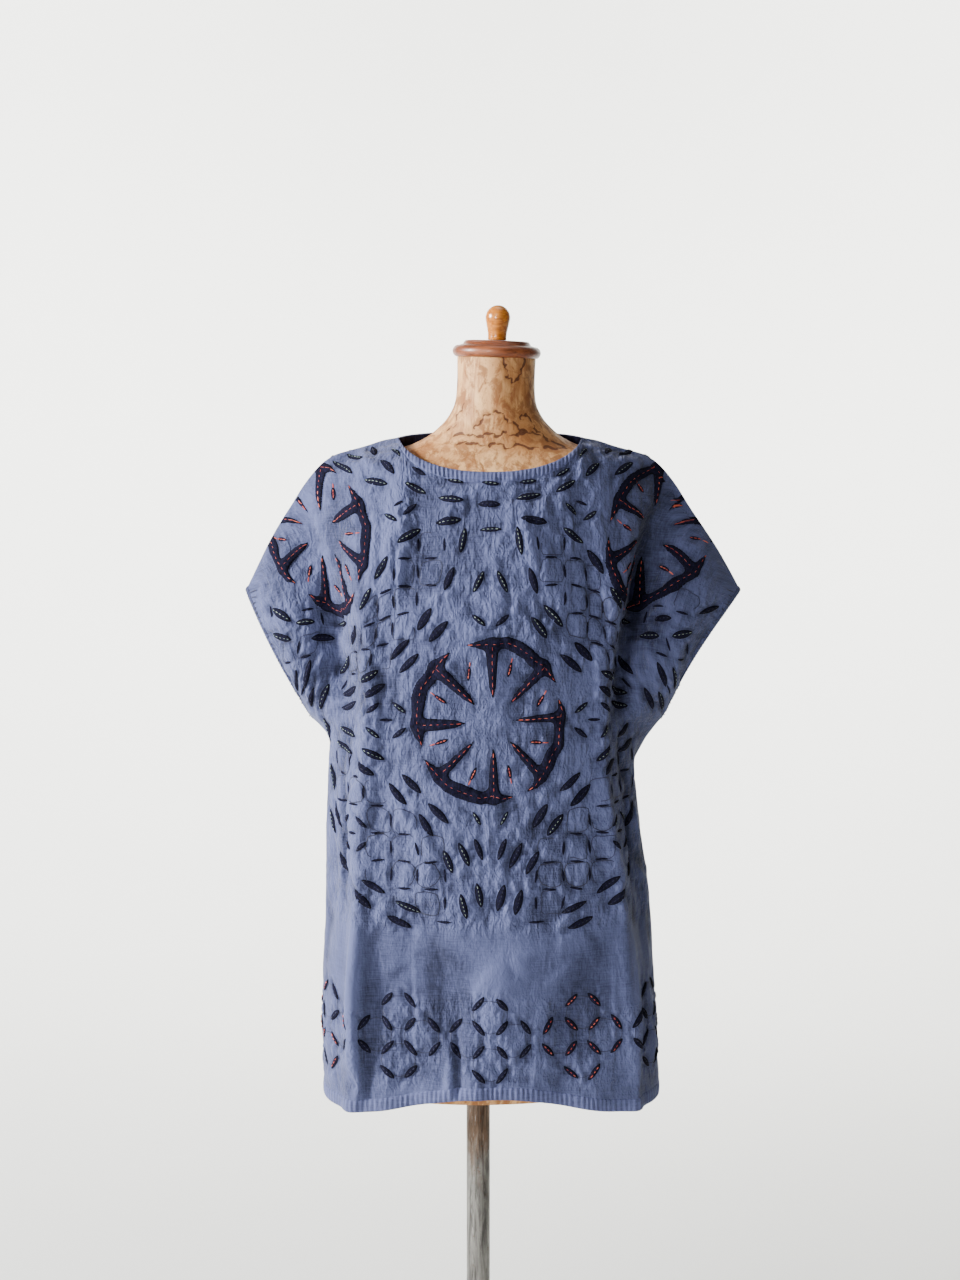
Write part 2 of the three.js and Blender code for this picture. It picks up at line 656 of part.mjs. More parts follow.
// ---------------------------------------------------------------- materials and assembly
const finish = (color, roughness, metalness) =>
  new THREE.MeshStandardMaterial({ color, roughness, metalness });
const COTTON = finish(0x5c6a94, 0.9, 0);
const CUTWORK = finish(0x1c1d36, 0.92, 0);
const PAPIER = finish(0xb9946a, 0.75, 0);
const CAP_WOOD = finish(0x8e5a3c, 0.5, 0);
const KNOB_WOOD = finish(0xb87844, 0.4, 0);
const STEEL = finish(0x77726a, 0.5, 0.7);
const IRON = finish(0x3b3a38, 0.6, 0.6);

const top = new THREE.Group();
top.position.x = MIDDLE_X;
function add(name, geometry, material, place = {}) {
  const mesh = new THREE.Mesh(geometry, material);
  mesh.name = name;
  mesh.position.set(place.x ?? 0, place.y ?? 0, place.z ?? 0);
  mesh.rotation.set(0, place.tilt ?? 0, 0);
  top.add(mesh);
}

for (const side of ["front", "back"]) {
  add(`${side}_panel`, panel(side), COTTON);
  add(`${side}_hem_band`, hemBand(side), COTTON);
  add(`${side}_neck_band`, neckBand(side), COTTON);
}
for (const wheel of WHEELS)
  for (const quarter of wheel.hooks)
    add(`${wheel.name}_hook_${quarter + 1}`, wheelHook(wheel, wheel.turn + quarter * 90), CUTWORK);

const formTop = FORM.at(-1).z;
const capZ = formTop + SEAM_GAP + CAP.radius * Math.sin(Math.abs(CAP.tilt));
add("form_body", formBody(), PAPIER);
add("neck_cap", neckCap(), CAP_WOOD, { x: LEAN.highX, z: capZ, tilt: -CAP.tilt });
const capHeight = CAP.rim + CAP.stepHeight + 0.8 + SEAM_GAP;
add("cap_knob", knob(), KNOB_WOOD, {
  x: LEAN.highX - capHeight * Math.sin(CAP.tilt),
  z: capZ + capHeight * Math.cos(CAP.tilt),
  tilt: -CAP.tilt,
});
const poleLength = FORM[0].z - BASE.collarTop - 2 * SEAM_GAP;
const pole = new THREE.CylinderGeometry(POLE.radius, POLE.radius, poleLength, POLE.sides);
const poleZ = BASE.collarTop + SEAM_GAP + poleLength / 2;
add("stand_pole", pole.rotateX(Math.PI / 2), STEEL, { x: LEAN.lowX, z: poleZ });
add("stand_base", standBase(), IRON, { x: LEAN.lowX });

export default top;
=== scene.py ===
import math

import bpy
import numpy as np
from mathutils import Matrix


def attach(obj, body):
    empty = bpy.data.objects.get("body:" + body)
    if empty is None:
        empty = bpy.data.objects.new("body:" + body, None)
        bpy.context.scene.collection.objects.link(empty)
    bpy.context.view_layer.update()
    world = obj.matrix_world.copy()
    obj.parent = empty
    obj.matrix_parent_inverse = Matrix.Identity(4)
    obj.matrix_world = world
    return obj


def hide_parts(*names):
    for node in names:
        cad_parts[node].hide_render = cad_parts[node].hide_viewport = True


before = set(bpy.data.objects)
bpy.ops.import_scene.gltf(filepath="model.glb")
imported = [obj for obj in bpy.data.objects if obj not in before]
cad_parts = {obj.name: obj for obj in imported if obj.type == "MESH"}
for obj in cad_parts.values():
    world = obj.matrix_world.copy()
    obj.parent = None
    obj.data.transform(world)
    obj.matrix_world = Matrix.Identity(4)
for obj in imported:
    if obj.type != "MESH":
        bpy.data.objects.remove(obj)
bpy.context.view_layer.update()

# ------------------------------------------------------------------ sizes shared with the solids
MIDDLE_X = -3.3
UNDERARM_Z = 1048
HEM_SIDE_Z = 645
HEM_RISE = {"front": 20, "back": 8}
SHOULDER_POINT_Z = 1344.5
SHOULDER_POINT_X = 96
NECK_SHARE = 0.36
NECK = {"front": (60, 33), "back": (54, -5)}  # depth, drop
NECK_STRAIGHTNESS = 0.3
SLEEVE_BULGE = {"front": 34, "back": 38}
BODY_SQUARENESS = 2.7
VALLEY_FLOOR = 0.3
SEAM_GAP = 0.3
BAND = {"neck": 11, "hem": 15}
SHOULDER_TIP_X = 261
SECTION_HALF, SECTION_DEPTH = 166, 112  # the section by whose length the shares are spaced
FORM_LOW_Z, FORM_TOP_Z = 654, 1429
# How far the cloth keeps off the form: before its creases, its face and its under layer.
FORM_CLEARANCE, FACE_CLEARANCE, UNDER_CLEARANCE = 4.5, 3.2, 2.0
UNDER_DROP = 0.95


def table(names, rows):
    """A table with named columns, as one array for each column."""
    return dict(zip(names.split(), np.array(rows, float).T))


BODY = table("z left right front back", [
    (640, 178, 182, 108, 112),
    (700, 179, 180, 108, 111),
    (780, 178, 175, 109, 109),
    (860, 175, 170, 111, 107),
    (930, 174, 160, 113, 105),
    (980, 172, 153, 115, 104),
    (1030, 169, 150, 117, 104),
    (1080, 169, 150, 118, 104),
])
SHOULDER = table("x z", [
    (96, 1344.5), (112, 1341.5), (129, 1336), (147, 1331), (163, 1326), (178, 1315.5),
    (195, 1295), (209, 1273), (223, 1252), (236, 1231), (248, 1209), (261, 1184),
])
SLEEVES = {
    "left": dict(tip=257.5, hollow=0, flare=19, flare_from=1028),
    "right": dict(tip=264, hollow=10, flare=32, flare_from=1000),
}
ARMHOLE_FOLDS = {
    ("front", "left"): (0.7, 0.11, 12, 20),  # share, width, inward, depth
    ("front", "right"): (0.69, 0.095, 15, 30),
    ("back", "left"): (0.7, 0.11, 13, 24),
    ("back", "right"): (0.7, 0.11, 13, 22),
}
# Long folds: share at the hem, at the top, width in shares, low and high heights, rise.
FOLDS = {
    "front": [
        (-0.6, -0.48, 0.05, 560, 1290, 9),
        (-0.33, -0.3, 0.11, 560, 960, -8),
        (-0.06, -0.07, 0.04, 590, 800, 3.5),
        (0.3, 0.2, 0.1, 560, 880, -5),
        (0.62, 0.5, 0.045, 560, 1290, 9),
        (0.78, 0.68, 0.06, 760, 1080, -7),
        (-0.8, -0.72, 0.06, 780, 1060, -6),
    ],
    "back": [
        (-0.62, -0.5, 0.06, 560, 1180, 9),
        (-0.3, -0.25, 0.1, 560, 1060, -9),
        (0.03, 0.02, 0.09, 560, 1000, 8),
        (0.33, 0.27, 0.1, 560, 1080, -9),
        (0.63, 0.52, 0.06, 560, 1180, 9),
    ],
}
FORM = table("z half front back", [
    (654, 158, 92, 95), (700, 162, 95, 101), (780, 156, 93, 96), (860, 140, 88, 84),
    (930, 127, 86, 77), (1000, 131, 97, 80), (1060, 138, 109, 86), (1100, 142, 113, 91),
    (1150, 145, 109, 96), (1200, 149, 100, 98), (1250, 157, 87, 94), (1280, 161, 77, 86),
    (1300, 160, 69, 77), (1316, 152, 61, 66), (1324, 134, 55, 58), (1331, 111, 50, 52),
    (1336, 90, 47, 49), (1345, 71, 44, 46), (1356, 57.5, 42, 43), (1366, 49, 41, 42),
    (1380, 42.5, 40.5, 41.5), (1402, 40.5, 40, 40), (1429, 41, 41, 41),
])
LEAN = dict(low_x=-12.4, high_x=6.8)  # the form's middle at its lowest and highest
POLE_RADIUS = 12.7
BASE = dict(radius=172, collar=24, collar_top=62)
CAP = dict(radius=46, rim=8.5, step_height=5, tilt=-0.035)
KNOB = dict(neck=9.8, head=13, height=36)


# ------------------------------------------------------------------ small helpers
def lerp(a, b, t):
    return a + (b - a) * t


def smoothstep(value, low, high):
    t = np.clip((np.asarray(value, float) - low) / (high - low), 0, 1)
    return t * t * (3 - 2 * t)


def bell(distance, width):
    return np.exp(-((distance / width) ** 2))


def look_up(rows, key, column, at):
    """Value of a table's column, with a smooth curve through its rows."""
    keys, values = rows[key], rows[column]
    last = len(keys) - 1
    at = np.asarray(at, float)
    i = np.clip(np.searchsorted(keys, at, side="right") - 1, 0, last - 1)
    before, after = np.maximum(i - 1, 0), np.minimum(i + 2, last)
    span = keys[i + 1] - keys[i]
    t = np.clip((at - keys[i]) / span, 0, 1)
    m0 = (values[i + 1] - values[before]) / (keys[i + 1] - keys[before]) * span
    m1 = (values[after] - values[i]) / (keys[after] - keys[i]) * span
    t2, t3 = t * t, t * t * t
    return (
        (2 * t3 - 3 * t2 + 1) * values[i]
        + (t3 - 2 * t2 + t) * m0
        + (3 * t2 - 2 * t3) * values[i + 1]
        + (t3 - t2) * m1
    )


def even_curve(a, b):
    """A curve in two coordinates, read by the share of its length."""
    lengths = np.concatenate([[0], np.cumsum(np.hypot(np.diff(a), np.diff(b)))])
    shares = lengths / lengths[-1]
    return lambda share: (np.interp(share, shares, a), np.interp(share, shares, b))


angles = np.linspace(0, math.pi / 2, 121)
section_even = even_curve(
    SECTION_HALF * np.sin(angles) ** (2 / BODY_SQUARENESS),
    SECTION_DEPTH * np.maximum(np.cos(angles), 0) ** (2 / BODY_SQUARENESS),
)
shoulder_x = np.linspace(SHOULDER_POINT_X, SHOULDER_TIP_X, 121)
shoulder_even = even_curve(shoulder_x, look_up(SHOULDER, "x", "z", shoulder_x))


# ------------------------------------------------------------------ the cloth's surface
def lean_x(z):
    """The middle of the form across, which leans a little."""
    return lerp(LEAN["low_x"], LEAN["high_x"], (z - FORM_LOW_Z) / (FORM_TOP_Z - FORM_LOW_Z))


def form_reach(side, x, z, clearance=FORM_CLEARANCE):
    """How far the form, grown sideways and upwards by a clearance, reaches from y = 0."""
    form_z = z - clearance
    half = look_up(FORM, "z", "half", form_z) + clearance
    depth = look_up(FORM, "z", side, form_z) + clearance
    across = (x - lean_x(form_z)) / half
    reach = depth * np.sqrt(np.maximum(1 - across * across, 0))
    return np.where(z > SHOULDER_POINT_Z, 0, reach)


def sleeve_value(share, name):
    """A size of the left or right sleeve, by which half of the panel the share is in."""
    return np.where(share < 0, SLEEVES["left"][name], SLEEVES["right"][name])


def top_edge(side, share):
    """Neckline, then shoulder seam: x, depth and z for shares from -1 to 1."""
    out = np.abs(share)
    x, z = shoulder_even((out - NECK_SHARE) / (1 - NECK_SHARE))
    reach = sleeve_value(share, "tip") - SHOULDER_TIP_X
    x = x + reach * smoothstep(x, SHOULDER_TIP_X - 50, SHOULDER_TIP_X)
    along = np.clip(out / NECK_SHARE, 0, 1)
    angle = along * math.pi / 2
    depth, drop = NECK[side]
    fullness = np.maximum(np.cos(angle), 0)
    neck_x = SHOULDER_POINT_X * lerp(np.sin(angle) ** 0.85, along, NECK_STRAIGHTNESS)
    in_neck = out < NECK_SHARE
    return (
        np.where(in_neck, neck_x, x),
        np.where(in_neck, depth * fullness**0.85, 0),
        np.where(in_neck, SHOULDER_POINT_Z - drop * fullness, z),
    )


def fold_rise(side, share, z):
    """How far the long folds lift or sink the cloth."""
    t = (z - HEM_SIDE_Z) / (SHOULDER_POINT_Z - HEM_SIDE_Z)
    total = 0
    for at_hem, at_top, width, low, high, rise in FOLDS[side]:
        fade = smoothstep(z, low, low + 90) * (1 - smoothstep(z, high - 160, high))
        total = total + rise * fade * bell(share - lerp(at_hem, at_top, t), width)
    return total


def cloth_point(side, share, climb):
    """A panel before its folds. share is across, climb -1 at the hem, 0 underarm, 1 at the top."""
    share, climb = np.broadcast_arrays(np.asarray(share, float), np.asarray(climb, float))
    out = np.abs(share)
    across, forward = section_even(out)
    across, forward = across / SECTION_HALF, forward / SECTION_DEPTH
    hem_z = HEM_SIDE_Z + HEM_RISE[side] * (1 - smoothstep(out, 0.05, 0.6))
    top_x, top_depth, top_z = top_edge(side, share)
    up = np.maximum(climb, 0)
    z = np.where(climb < 0, lerp(UNDERARM_Z, hem_z, -climb), lerp(UNDERARM_Z, top_z, up))
    body_z = np.minimum(z, UNDERARM_Z)

    flare_from = sleeve_value(share, "flare_from")
    flared = (np.maximum(body_z - flare_from, 0) / (UNDERARM_Z - flare_from)) ** 1.3
    half = np.where(
        share < 0, look_up(BODY, "z", "left", body_z), look_up(BODY, "z", "right", body_z)
    )
    body_x = half * across + sleeve_value(share, "flare") * flared * smoothstep(out, 0.76, 1)
    left, right = ARMHOLE_FOLDS[side, "left"], ARMHOLE_FOLDS[side, "right"]
    place, width, inward, depth = (np.where(share < 0, l, r) for l, r in zip(left, right))
    middle = np.maximum(np.sin(math.pi * up), 0)
    sunk = bell(out - place, width) * middle**0.8
    outward = lerp(1.5, 1, smoothstep(out, 0.5, 0.95))
    x = lerp(body_x, top_x, up**outward) - inward * sunk
    x = x - sleeve_value(share, "hollow") * middle * smoothstep(out, 0.8, 1)
    x = x * np.where(share < 0, -1, 1)

    hang = look_up(BODY, "z", side, body_z) * forward
    tent = top_depth + (hang - top_depth) * np.maximum(1 - up**2.6, 0) ** 0.8
    sleeve = SLEEVE_BULGE[side] * middle**0.75 * smoothstep(out, 0.66, 0.92)
    full = np.maximum(tent + sleeve, 0)
    free = np.maximum(full - depth * sunk, full * VALLEY_FLOOR)
    soft = np.minimum(7, np.minimum(free / 4, (1 - up) * 56))
    reach = form_reach(side, x, z)
    deep = (free + reach + np.sqrt((free - reach) ** 2 + soft**2)) / 2
    return np.stack([x, -deep if side == "front" else deep, z], -1)


def unit(vectors):
    return vectors / np.maximum(np.linalg.norm(vectors, axis=-1, keepdims=True), 1e-9)


def own_side(y, side):
    """Depths kept on the panel's own side of the plane where front and back meet."""
    limit = SEAM_GAP / 2
    return np.minimum(y, -limit) if side == "front" else np.maximum(y, limit)


def grid_normals(points, side):
    across = np.gradient(points, axis=1)
    up = np.gradient(points, axis=0)
    normals = np.cross(across, up)
    return unit(normals if side == "front" else -normals)


class Cloth:
    """A panel's outer face as a fine grid, with its flat pattern coordinates."""

    def __init__(self, side, columns, lower, upper):
        self.side = side
        self.shares = np.linspace(-1, 1, columns)
        climbs = np.linspace(-1, 0, lower, endpoint=False)
        below = cloth_point(side, self.shares[None, :], climbs[:, None])
        fine = np.linspace(0, 1, 241)
        column = cloth_point(side, self.shares[None, :], fine[:, None])
        steps = np.linalg.norm(np.diff(column, axis=0), axis=-1)
        lengths = np.concatenate([np.zeros((1, columns)), np.cumsum(steps, axis=0)])
        above = np.empty((upper + 1, columns, 3))
        for i in range(columns):
            at = np.interp(np.linspace(0, lengths[-1, i], upper + 1), lengths[:, i], fine)
            above[:, i] = cloth_point(side, self.shares[i], at)
        self.points = np.concatenate([below, above])
        self.lower = lower
        self.flatten()

    def flatten(self):
        """Pattern coordinates: y is the cloth's length above the underarm, x across from the middle."""
        steps = np.linalg.norm(np.diff(self.points, axis=0), axis=-1)
        rise = np.concatenate([np.zeros((1, len(self.shares))), np.cumsum(steps, axis=0)])
        self.y = rise - rise[self.lower]
        width = np.linalg.norm(np.diff(self.points, axis=1), axis=-1)
        width = np.sqrt(np.maximum(width**2 - np.diff(self.y, axis=1) ** 2, 1e-6))
        run = np.concatenate([np.zeros((len(self.y), 1)), np.cumsum(width, axis=1)], axis=1)
        middle = (len(self.shares) - 1) // 2
        self.x = run - run[:, middle : middle + 1]

    def fold(self):
        """Lifts the long folds."""
        normals = grid_normals(self.points, self.side)
        normals = self.seam_flat(normals)
        rows = len(self.points)
        fade = 1 - smoothstep(np.arange(rows), rows * 0.8, rows * 0.94)
        rise = fold_rise(self.side, self.shares[None, :], self.points[..., 2]) * fade[:, None]
        self.points = self.points + normals * rise[..., None]
        self.points[..., 1] = own_side(self.points[..., 1], self.side)

    def seam_flat(self, normals):
        """Directions at the side and shoulder seams stay in the seams' plane."""
        normals = normals.copy()
        normals[: self.lower + 2, [0, -1], 1] = 0
        on_shoulder = np.abs(self.shares) > NECK_SHARE
        normals[-1, on_shoulder, 1] = 0
        return unit(normals)

    def raised(self, rise, clearance):
        """The face moved along its normals and kept that far off the form."""
        points = self.points + self.seam_flat(grid_normals(self.points, self.side)) * rise[..., None]
        reach = form_reach(self.side, points[..., 0], points[..., 2], clearance)
        deep = np.maximum(np.abs(points[..., 1]), reach)
        points[..., 1] = -deep if self.side == "front" else deep
        return points

    def raise_by(self, rise):
        self.points = self.raised(rise, FACE_CLEARANCE)
        self.points[..., 1] = own_side(self.points[..., 1], self.side)

    def lining(self, rise, step=4):
        """A coarse face just under the raised one, as low as its lowest nearby creases."""
        low = np.pad(rise, step, mode="edge")
        rows, columns = rise.shape
        reach = range(2 * step + 1)
        nearby = [low[i : i + rows, j : j + columns] for i in reach for j in reach]
        low = np.min(nearby, axis=0) - UNDER_DROP
        return self.raised(low, UNDER_CLEARANCE)[::step, ::step]

    def settle(self):
        """Freezes the face, with tables that find the place of a pattern coordinate."""
        self.normals = self.seam_flat(grid_normals(self.points, self.side))
        self.levels = np.arange(math.floor(self.y.min()), math.ceil(self.y.max()) + 1.0)
        rows = np.arange(len(self.y))
        self.level_rows = np.stack(
            [np.interp(self.levels, self.y[:, i], rows) for i in range(len(self.shares))], 1
        )
        columns = np.arange(len(self.shares))
        self.level_x = read_grid(self.x, self.level_rows, columns[None, :])

    def at(self, x, y, lift=0.0):
        """Points on the face at pattern coordinates, lifted off it along the normal."""
        x, y, lift = (np.asarray(v, float).ravel() for v in np.broadcast_arrays(x, y, lift))
        level = np.clip(y - self.levels[0], 0, len(self.levels) - 1.001)
        low = level.astype(int)
        part = (level - low)[:, None]
        columns = np.empty(len(x))
        rows = np.empty(len(x))
        for start in range(0, len(x), 4000):
            cut = slice(start, start + 4000)
            line = lerp(self.level_x[low[cut]], self.level_x[low[cut] + 1], part[cut])
            place = np.clip((line < x[cut, None]).sum(1) - 1, 0, line.shape[1] - 2)
            row = np.arange(len(place))
            before, after = line[row, place], line[row, place + 1]
            columns[cut] = place + np.clip((x[cut] - before) / (after - before), 0, 1)
            place = columns[cut].astype(int).clip(0, line.shape[1] - 2)
            t = columns[cut] - place
            heights = lerp(self.level_rows[low[cut]], self.level_rows[low[cut] + 1], part[cut])
            rows[cut] = lerp(heights[row, place], heights[row, place + 1], t)
        point = read_grid(self.points, rows, columns)
        normal = unit(read_grid(self.normals, rows, columns))
        return point + normal * lift[:, None]

    def reach_x(self, y):
        """The pattern's left and right edges at a height."""
        level = np.clip(y - self.levels[0], 0, len(self.levels) - 1).astype(int)
        return self.level_x[level, 0], self.level_x[level, -1]

    def top_y(self, x):
        """The pattern's top edge above a place across."""
        return np.interp(x, self.x[-1], self.y[-1])


def read_grid(values, rows, columns):
    """Bilinear reading of a grid at fractional rows and columns."""
    rows, columns = np.broadcast_arrays(rows, columns)
    r = np.clip(rows.astype(int), 0, values.shape[0] - 2)
    c = np.clip(columns.astype(int), 0, values.shape[1] - 2)
    u, v = rows - r, columns - c
    if values.ndim == 3:
        u, v = u[..., None], v[..., None]
    low = lerp(values[r, c], values[r, c + 1], v)
    high = lerp(values[r + 1, c], values[r + 1, c + 1], v)
    return lerp(low, high, u)


# ------------------------------------------------------------------ meshes
def put_mesh(name, points, faces, material, uv=None, marks=None, smooth=True):
    """An object from points in mm, faces of one size, UVs by point and named float marks."""
    points = np.asarray(points, float).reshape(-1, 3)
    faces = np.asarray(faces, np.int32)
    size = faces.shape[1]
    mesh = bpy.data.meshes.new(name)
    mesh.vertices.add(len(points))
    placed = (points + np.array([MIDDLE_X, 0, 0])) / 1000
    mesh.vertices.foreach_set("co", placed.astype(np.float32).ravel())
    mesh.loops.add(faces.size)
    mesh.loops.foreach_set("vertex_index", faces.ravel())
    mesh.polygons.add(len(faces))
    mesh.polygons.foreach_set("loop_start", np.arange(0, faces.size, size, dtype=np.int32))
    mesh.polygons.foreach_set("use_smooth", np.full(len(faces), smooth))
    mesh.update(calc_edges=True)
    if uv is not None:
        layer = mesh.uv_layers.new(name="flat")
        layer.data.foreach_set("uv", np.asarray(uv, np.float32).reshape(-1, 2)[faces.ravel()].ravel())
    for key, values in (marks or {}).items():
        mark = mesh.attributes.new(key, "FLOAT", "POINT")
        mark.data.foreach_set("value", np.asarray(values, np.float32).ravel())
    mesh.validate()
    made = bpy.data.objects.new(name, mesh)
    bpy.context.collection.objects.link(made)
    mesh.materials.append(material)
    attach(made, "root")
    return made


def grid_faces(rows, columns, wrap=False, flip=False):
    """Quads of a grid of points, [row][column]; wrap joins the last column to the first."""
    j, i = np.meshgrid(np.arange(rows - 1), np.arange(columns - (0 if wrap else 1)), indexing="ij")
    after = (i + 1) % columns
    quads = np.stack(
        [j * columns + i, j * columns + after, (j + 1) * columns + after, (j + 1) * columns + i], -1
    ).reshape(-1, 4)
    return quads[:, ::-1] if flip else quads


class Batch:
    """Many small meshes gathered into one object, with a tone for each point."""

    def __init__(self):
        self.points, self.faces, self.uvs, self.tones, self.count = [], [], [], [], 0

    def add(self, points, faces, uv, tone=0.5):
        points = points.reshape(-1, 3)
        self.points.append(points)
        self.faces.append(faces + self.count)
        self.uvs.append(np.asarray(uv, float).reshape(-1, 2))
        self.tones.append(np.zeros(len(points)) + np.ravel(tone))
        self.count += len(points)

    def put(self, name, material):
        return put_mesh(
            name,
            np.concatenate(self.points),
            np.concatenate(self.faces),
            material,
            np.concatenate(self.uvs),
            {"tone": np.concatenate(self.tones)},
        )


def flat_uv(x, y):
    """UVs in metres of flat cloth."""
    return np.stack([np.asarray(x) / 1000 + 0.4, np.asarray(y) / 1000 + 0.45], -1)


# ------------------------------------------------------------------ the cut-work pattern
# Pattern millimetres, from the middle of the centre wheel. The wheels stand on a diagonal
# lattice, and each has a double ring of leaves round it that crosses its neighbours' rings.
WHEEL_STEP = 235
CENTRE_ABOVE = 12
RING_RADII = (212, 230.5)
RING_LEAF = (28, 8)  # length and width
# How near a wheel's middle small leaves and ring leaves may lie.
SMALL_FROM_WHEEL, RING_FROM_WHEEL = 84, 95
FIELD_LOW = -214
LATTICE_PITCH = 28.5
LATTICE_START = (19, -2)
# The lattice lies this far from the nearest ring centre, and this near the next one.
LATTICE_FROM_RING, LATTICE_TO_NEXT = 96, 204
SLIT = (14, 2.4)
# Small leaves between a wheel's spokes: distance out, half the length, width.
SPOKE_LEAF = (57, 7.5, 4.2)
# No ring leaves in the middle of the lowest ring, this far across and down.
BARE_MIDDLE = (72, -195)
WHEELS = {
    "centre": dict(share=0.012, above=14, per_share=243, stretch=1, turn=0),
    "left": dict(share=-0.66, above=209, per_share=432, stretch=1.08, turn=22.5),
    "right": dict(share=0.655, above=213, per_share=436, stretch=1.08, turn=-22.5),
}
HOOK = dict(rim=79, arc=(-62, 17), spokes=(-45, 0), inner=27, rim_half=6.8, corner=5)
# Half width of a spoke from its point to the rim.
SPOKE_HALF = ((0, 0.14, 0.5, 0.85, 1), (0.5, 3.5, 5.2, 6.6, 7.8))
# Ring centres in lattice steps, the angle of their first pair of leaves, and how many pairs.
RINGS = [
    (0, 0, 6, 30), (-1, 1, -1, 30), (1, 1, 1, 30), (-1, -1, 1, 30), (1, -1, -1, 30), (0, 1.957, 0, 36),
    (-2, 0, 3, 30), (2, 0, -3, 30), (-2, 2, 2, 30), (2, 2, -2, 30), (0, -2, 0, 30),
]
# Single leaves, mirrored left to right: place, angle, length and width.
LONE_LEAVES = [
    (0, 198, 0, 22, 5), (12, 144, 115, 24, 6.5), (12, -130, 70, 24, 6), (12, 105, 40, 18, 5),
    (14, -98, 60, 16, 4), (48, -207, 0, 16, 2.4),
]
# Rings of four leaves with a small one inside, mirrored: place and reach across and up.
QUARTETS = [(109, 2, 14, 13), (150, -118, 13, 13), (100, 230, 15, 9)]
# Rows of leaves that follow the neckline, in the cloth's own mm: distance from its edge, gap
# between leaves, their length and width.
NECK_ROWS = [(14, 38, 19, 5), (32, 40, 25, 7.5)]
NECK_HALF = 104
# Part rings of leaves under each sleeve wheel, in pattern mm: radius, then degrees from straight
# down to the first leaf and between leaves, how many, their length and width.
SLEEVE_RINGS = [(114, -8, 26, 4, 22, 6.5), (134, 4, 26, 3, 26, 8)]
SLEEVE_LATTICE_FROM = 235
HEM_GROUPS = (-2, -1, 0, 1, 2)
HEM_GROUP_PITCH = 97
HEM_GROUP_ABOVE_HEM = 64
# A hem group is a board of four by four leaves without its corners: steps across and up.
HEM_LEAF_STEPS = (24.4, 25.6)


def to_flat(x, y):
    """Pattern place to the cloth's own coordinates: the folds at the sleeves take some up."""
    x, y = np.broadcast_arrays(np.asarray(x, float), np.asarray(y, float))
    sleeve = smoothstep(y, 10, 120)
    taken = np.interp(np.abs(x), [0, 95, 160, 235, 312, 400], [0, 95, 132, 193, 266, 350])
    across = np.sign(x) * lerp(np.abs(x) * 0.985, taken, sleeve)
    shrink = np.where(x < 0, 0.8, 0.834)
    up = np.where(y > 0, y * lerp(1, shrink, smoothstep(np.abs(x), 70, 210)), y)
    return across, up + CENTRE_ABOVE


def wheel_flat(cloth, wheel, x, y):
    """A place in a wheel to the cloth's own coordinates."""
    up = y * wheel["stretch"] + wheel["above"]
    share = wheel["share"] + x / wheel["per_share"]
    level = np.clip(up - cloth.levels[0], 0, len(cloth.levels) - 1).astype(int)
    place = np.clip((share + 1) / 2 * (len(cloth.shares) - 1), 0, len(cloth.shares) - 1)
    return read_grid(cloth.level_x, level, place), up


def hook_lines(turn, rng):
    """Centre lines of one hook, with their half widths: a rim and two spokes, cut by hand."""
    t = np.linspace(0, 1, 10)
    angle = np.radians(lerp(*HOOK["arc"], t) + turn)
    half = HOOK["rim_half"] * np.maximum(np.sin(math.pi * t), 0) ** 0.42 * rng.uniform(0.8, 1.15, len(t))
    radius = HOOK["rim"] + rng.normal(0, 1.1, len(t)) + 2.2 * np.abs(2 * t - 1) ** 3
    lines = [np.stack([radius * np.cos(angle), radius * np.sin(angle), half + 0.2], -1)]
    for degrees in HOOK["spokes"]:
        s = np.linspace(0, 1, 6)
        radius = lerp(HOOK["inner"] + rng.uniform(-3, 3), HOOK["rim"], s)
        way = math.radians(degrees + turn) + rng.normal(0, 0.02)
        half = np.interp(s, *SPOKE_HALF) * rng.uniform(0.72, 1.12)
        lines.append(np.stack([radius * math.cos(way), radius * math.sin(way), half], -1))
    return lines


def hook_distance(lines, x, y):
    """Distance outside a hook's outline, negative inside, with soft corners where lines meet."""
    result = None
    for line in lines:
        nearest = np.full(x.shape, 1e3)
        for a, b in zip(line[:-1], line[1:]):
            dx, dy = b[0] - a[0], b[1] - a[1]
            t = np.clip(((x - a[0]) * dx + (y - a[1]) * dy) / (dx * dx + dy * dy), 0, 1)
            away = np.hypot(x - a[0] - t * dx, y - a[1] - t * dy) - lerp(a[2], b[2], t)
            nearest = np.minimum(nearest, away)
        if result is None:
            result = nearest
        else:
            blend = np.maximum(HOOK["corner"] - np.abs(result - nearest), 0) / HOOK["corner"]
            result = np.minimum(result, nearest) - blend * blend * HOOK["corner"] / 4
    return result


def on_cloth(x, y, angle, length):
    """A leaf of the pattern in the cloth's own mm: its middle, direction and length."""
    way = math.radians(angle)
    dx, dy = math.cos(way) * length / 2, math.sin(way) * length / 2
    a, b = np.array(to_flat(x - dx, y - dy)), np.array(to_flat(x + dx, y + dy))
    size = np.hypot(*(b - a))
    return (a + b) / 2, (b - a) / size, max(size, length * 0.95)


def ring_distances(x, y):
    """Distances to the ring centres, nearest first."""
    return sorted(math.hypot(x - i * WHEEL_STEP, y - j * WHEEL_STEP) for i, j, *_ in RINGS)


def crowded(leaf, others):
    """Whether a leaf comes too near another, end to end or side by side."""
    middle, way, length, width = leaf
    for place, lean, long, wide in others:
        apart = place - middle
        for run in (way, lean):
            along = (apart @ run) / ((length + long) / 2 + 3)
            aside = (apart[0] * run[1] - apart[1] * run[0]) / ((width + wide) / 2 + 5.5)
            if along * along + aside * aside < 1:
                return True
    return False


